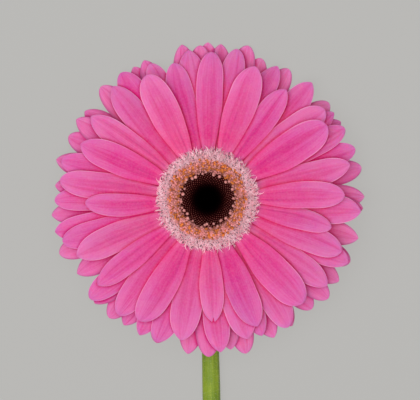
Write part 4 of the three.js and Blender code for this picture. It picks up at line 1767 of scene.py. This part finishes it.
@dataclass
class Receptacle:
    """Green cushion that carries the florets: a cup, lobed where the petals' feet press on it."""

    head: HeadFrame
    material: bpy.types.Material
    lobes: int = 34
    lobe_depth: float = 0.012
    sides: int = 204
    profile: Sequence[tuple[float, float]] = (
        (3.4, 0.0), (4.0, 0.05), (5.2, 0.4), (6.4, 0.9), (7.8, 1.75), (9.2, 2.8), (10.4, 3.8), (11.4, 4.8),
        (12.2, 5.8), (12.45, 6.4), (12.5, 7.6), (12.5, 9.6), (12.5, 11.6), (12.45, 13.2), (12.2, 13.8),
        (11.6, 14.05), (9.0, 14.1), (5.0, 14.1), (2.0, 14.1),
    )

    def build(self) -> bpy.types.Object:
        """Makes the receptacle.

        Returns:
            The receptacle.
        """
        profile = np.array(self.profile) * MM + np.array([0.0, self.head.foot_of("receptacle")])
        values = {"along": np.linspace(0, 3, len(profile)), "across": 0.0, "tone": 0.0, "cut": 0.0}
        surface = Surface()
        surface.add_revolved(profile, self.sides, values, lobes=self.lobes, depth=self.lobe_depth)
        mesh = self.head.place(surface.mesh("felted_receptacle"))
        return show_piece(mesh, "receptacle", self.material, "receptacle")


# ------------------------------------------------------------------------------------------------- the studio
@dataclass
class Studio:
    """Pale floor, soft light and the camera that looks straight into the flower's face."""

    head: HeadFrame
    distance: float = 1.0
    view_width: float = 150 * MM
    aside: float = 0.9 * MM
    down: float = 0.2 * MM
    sensor: float = 36.0
    face_height: float = 11 * MM
    floor_reach: float = 4.0
    floor_drop: float = 0.3 * MM
    room_light: float = 0.3

    def floor(self) -> None:
        """Lays the floor just under the flower."""
        points = np.array([(-1, -1, 0), (1, -1, 0), (1, 1, 0), (-1, 1, 0)]) * self.floor_reach
        points[:, 2] = -self.floor_drop
        mesh = make_mesh("floor", points, [(0, 1, 2, 3)], {})
        mesh.materials.append(FloorFinish().build())
        floor = new_object("floor", mesh)

    def softbox(self, name: str, place: Sequence[float], size: float, power: float) -> None:
        """Hangs a square soft light that faces the head.

        Args:
            name: Name of the light.
            place: Where it hangs, in the head's frame.
            size: Length of its side.
            power: Watts.
        """
        light = bpy.data.lights.new(name, "AREA")
        light.shape = "SQUARE"
        light.size = size
        light.energy = power
        lamp = new_object(name, light)
        away = self.head.matrix.to_3x3() @ Vector(place)
        lamp.location = self.head.origin + away
        lamp.rotation_euler = (-away).to_track_quat("-Z", "Y").to_euler()

    def sky(self, strength: float) -> None:
        """Fills the room with even light.

        Args:
            strength: Brightness of the background.
        """
        world = bpy.data.worlds.new("studio_room")
        world.use_nodes = True
        world.node_tree.nodes.clear()
        glow = Nodes(world.node_tree).out("ShaderNodeBackground", {"Color": "#FFFFFF", "Strength": strength})
        add_node(world.node_tree, "ShaderNodeOutputWorld", {"Surface": glow})
        bpy.context.scene.world = world

    def camera(self) -> None:
        """Sets the camera on the head's axis."""
        data = bpy.data.cameras.new("camera")
        data.sensor_width = self.sensor
        data.lens = self.sensor * self.distance / self.view_width
        data.clip_start = 0.01
        data.clip_end = 20
        camera = new_object("camera", data)
        away = self.head.matrix.to_3x3() @ Vector((0, 0, 1))
        right = self.head.matrix.to_3x3() @ Vector((1, 0, 0))
        up = self.head.matrix.to_3x3() @ Vector((0, 1, 0))
        face = self.head.origin + away * self.face_height
        camera.location = face + away * self.distance + right * self.aside - up * self.down
        camera.rotation_mode = "QUATERNION"
        camera.rotation_quaternion = self.head.matrix.to_3x3().to_quaternion()
        bpy.context.scene.camera = camera

    def build(self) -> None:
        """Makes the studio."""
        self.floor()
        self.sky(self.room_light)
        self.softbox("key_softbox", (-0.32, -0.16, 1.1), size=0.65, power=5.9)
        self.softbox("front_softbox", (0.0, 0.02, 1.3), size=0.55, power=7.4)
        self.camera()
        bpy.context.scene.view_settings.view_transform = "Standard"


def main() -> None:
    """Builds the flower piece by piece."""
    logging.basicConfig(level=logging.INFO, format="%(name)s %(message)s")
    head = HeadFrame.from_receptacle()
    Studio(head).build()
    petal = PetalFinish("petal_satin_pink").build()
    # Painted shade: the back row's finish has a deeper crimson inner part and dark mauve rims, for the shade
    # it lies in under the rows above.
    back_petal = PetalFinish(
        "back_petal_satin_mauve", base="#F0206C", throat="#F02C74", middle="#EE5A9C", tip="#E07EB8",
        painted_rim="#A84C80", glow=0.4, painted_rim_reach=0.25,
    ).build()
    skin = GreenFinish(
        "stem_skin_green", dark="#62801A", light="#8CA21A", downy="#A4B044", sheen=0.06
    ).build()
    bract = GreenFinish("bract_green", dark="#55702C", light="#86A04A", downy="#A9B57E", streak=20.0).build()
    felt = GreenFinish("receptacle_felt_green", dark="#7E9150", light="#A5B472", downy="#C3CB9C").build()
    down = DownFinish().build()
    pollen = FloretFinish(
        "anther_pollen_orange", foot="#8A3024", body="#D26634", tip="#EC8844", accent="#FFA8A8",
        roughness=0.8, grain_mm=0.25, glow=0.3, inner_shade=0.72,
    ).build()
    knobs = FloretFinish(
        "opening_bud_pale_pink", foot="#6A2022", body="#BC6E68", tip="#DC9A96", accent="#FFFFFF",
        roughness=0.6, grain_mm=0.3,
    ).build()
    fringe = FloretFinish(
        "trans_floret_pale_pink", foot="#F096A8", body="#FFE0E6", tip="#FFB4CE", accent="#543640",
        roughness=0.65, grain_mm=0.4, glow=0.0,
    ).build()
    RayFlorets(head, petal, back_petal).build()
    DiscBuds(head, BudFinish().build()).build()
    OpenDiscFlorets(head, pollen, knobs).build()
    TransFlorets(head, fringe).build()
    Receptacle(head, felt).build()
    Involucre(head, bract, down).build()
    Stem(head, skin, down).build()


if __name__ == "__main__":
    main()
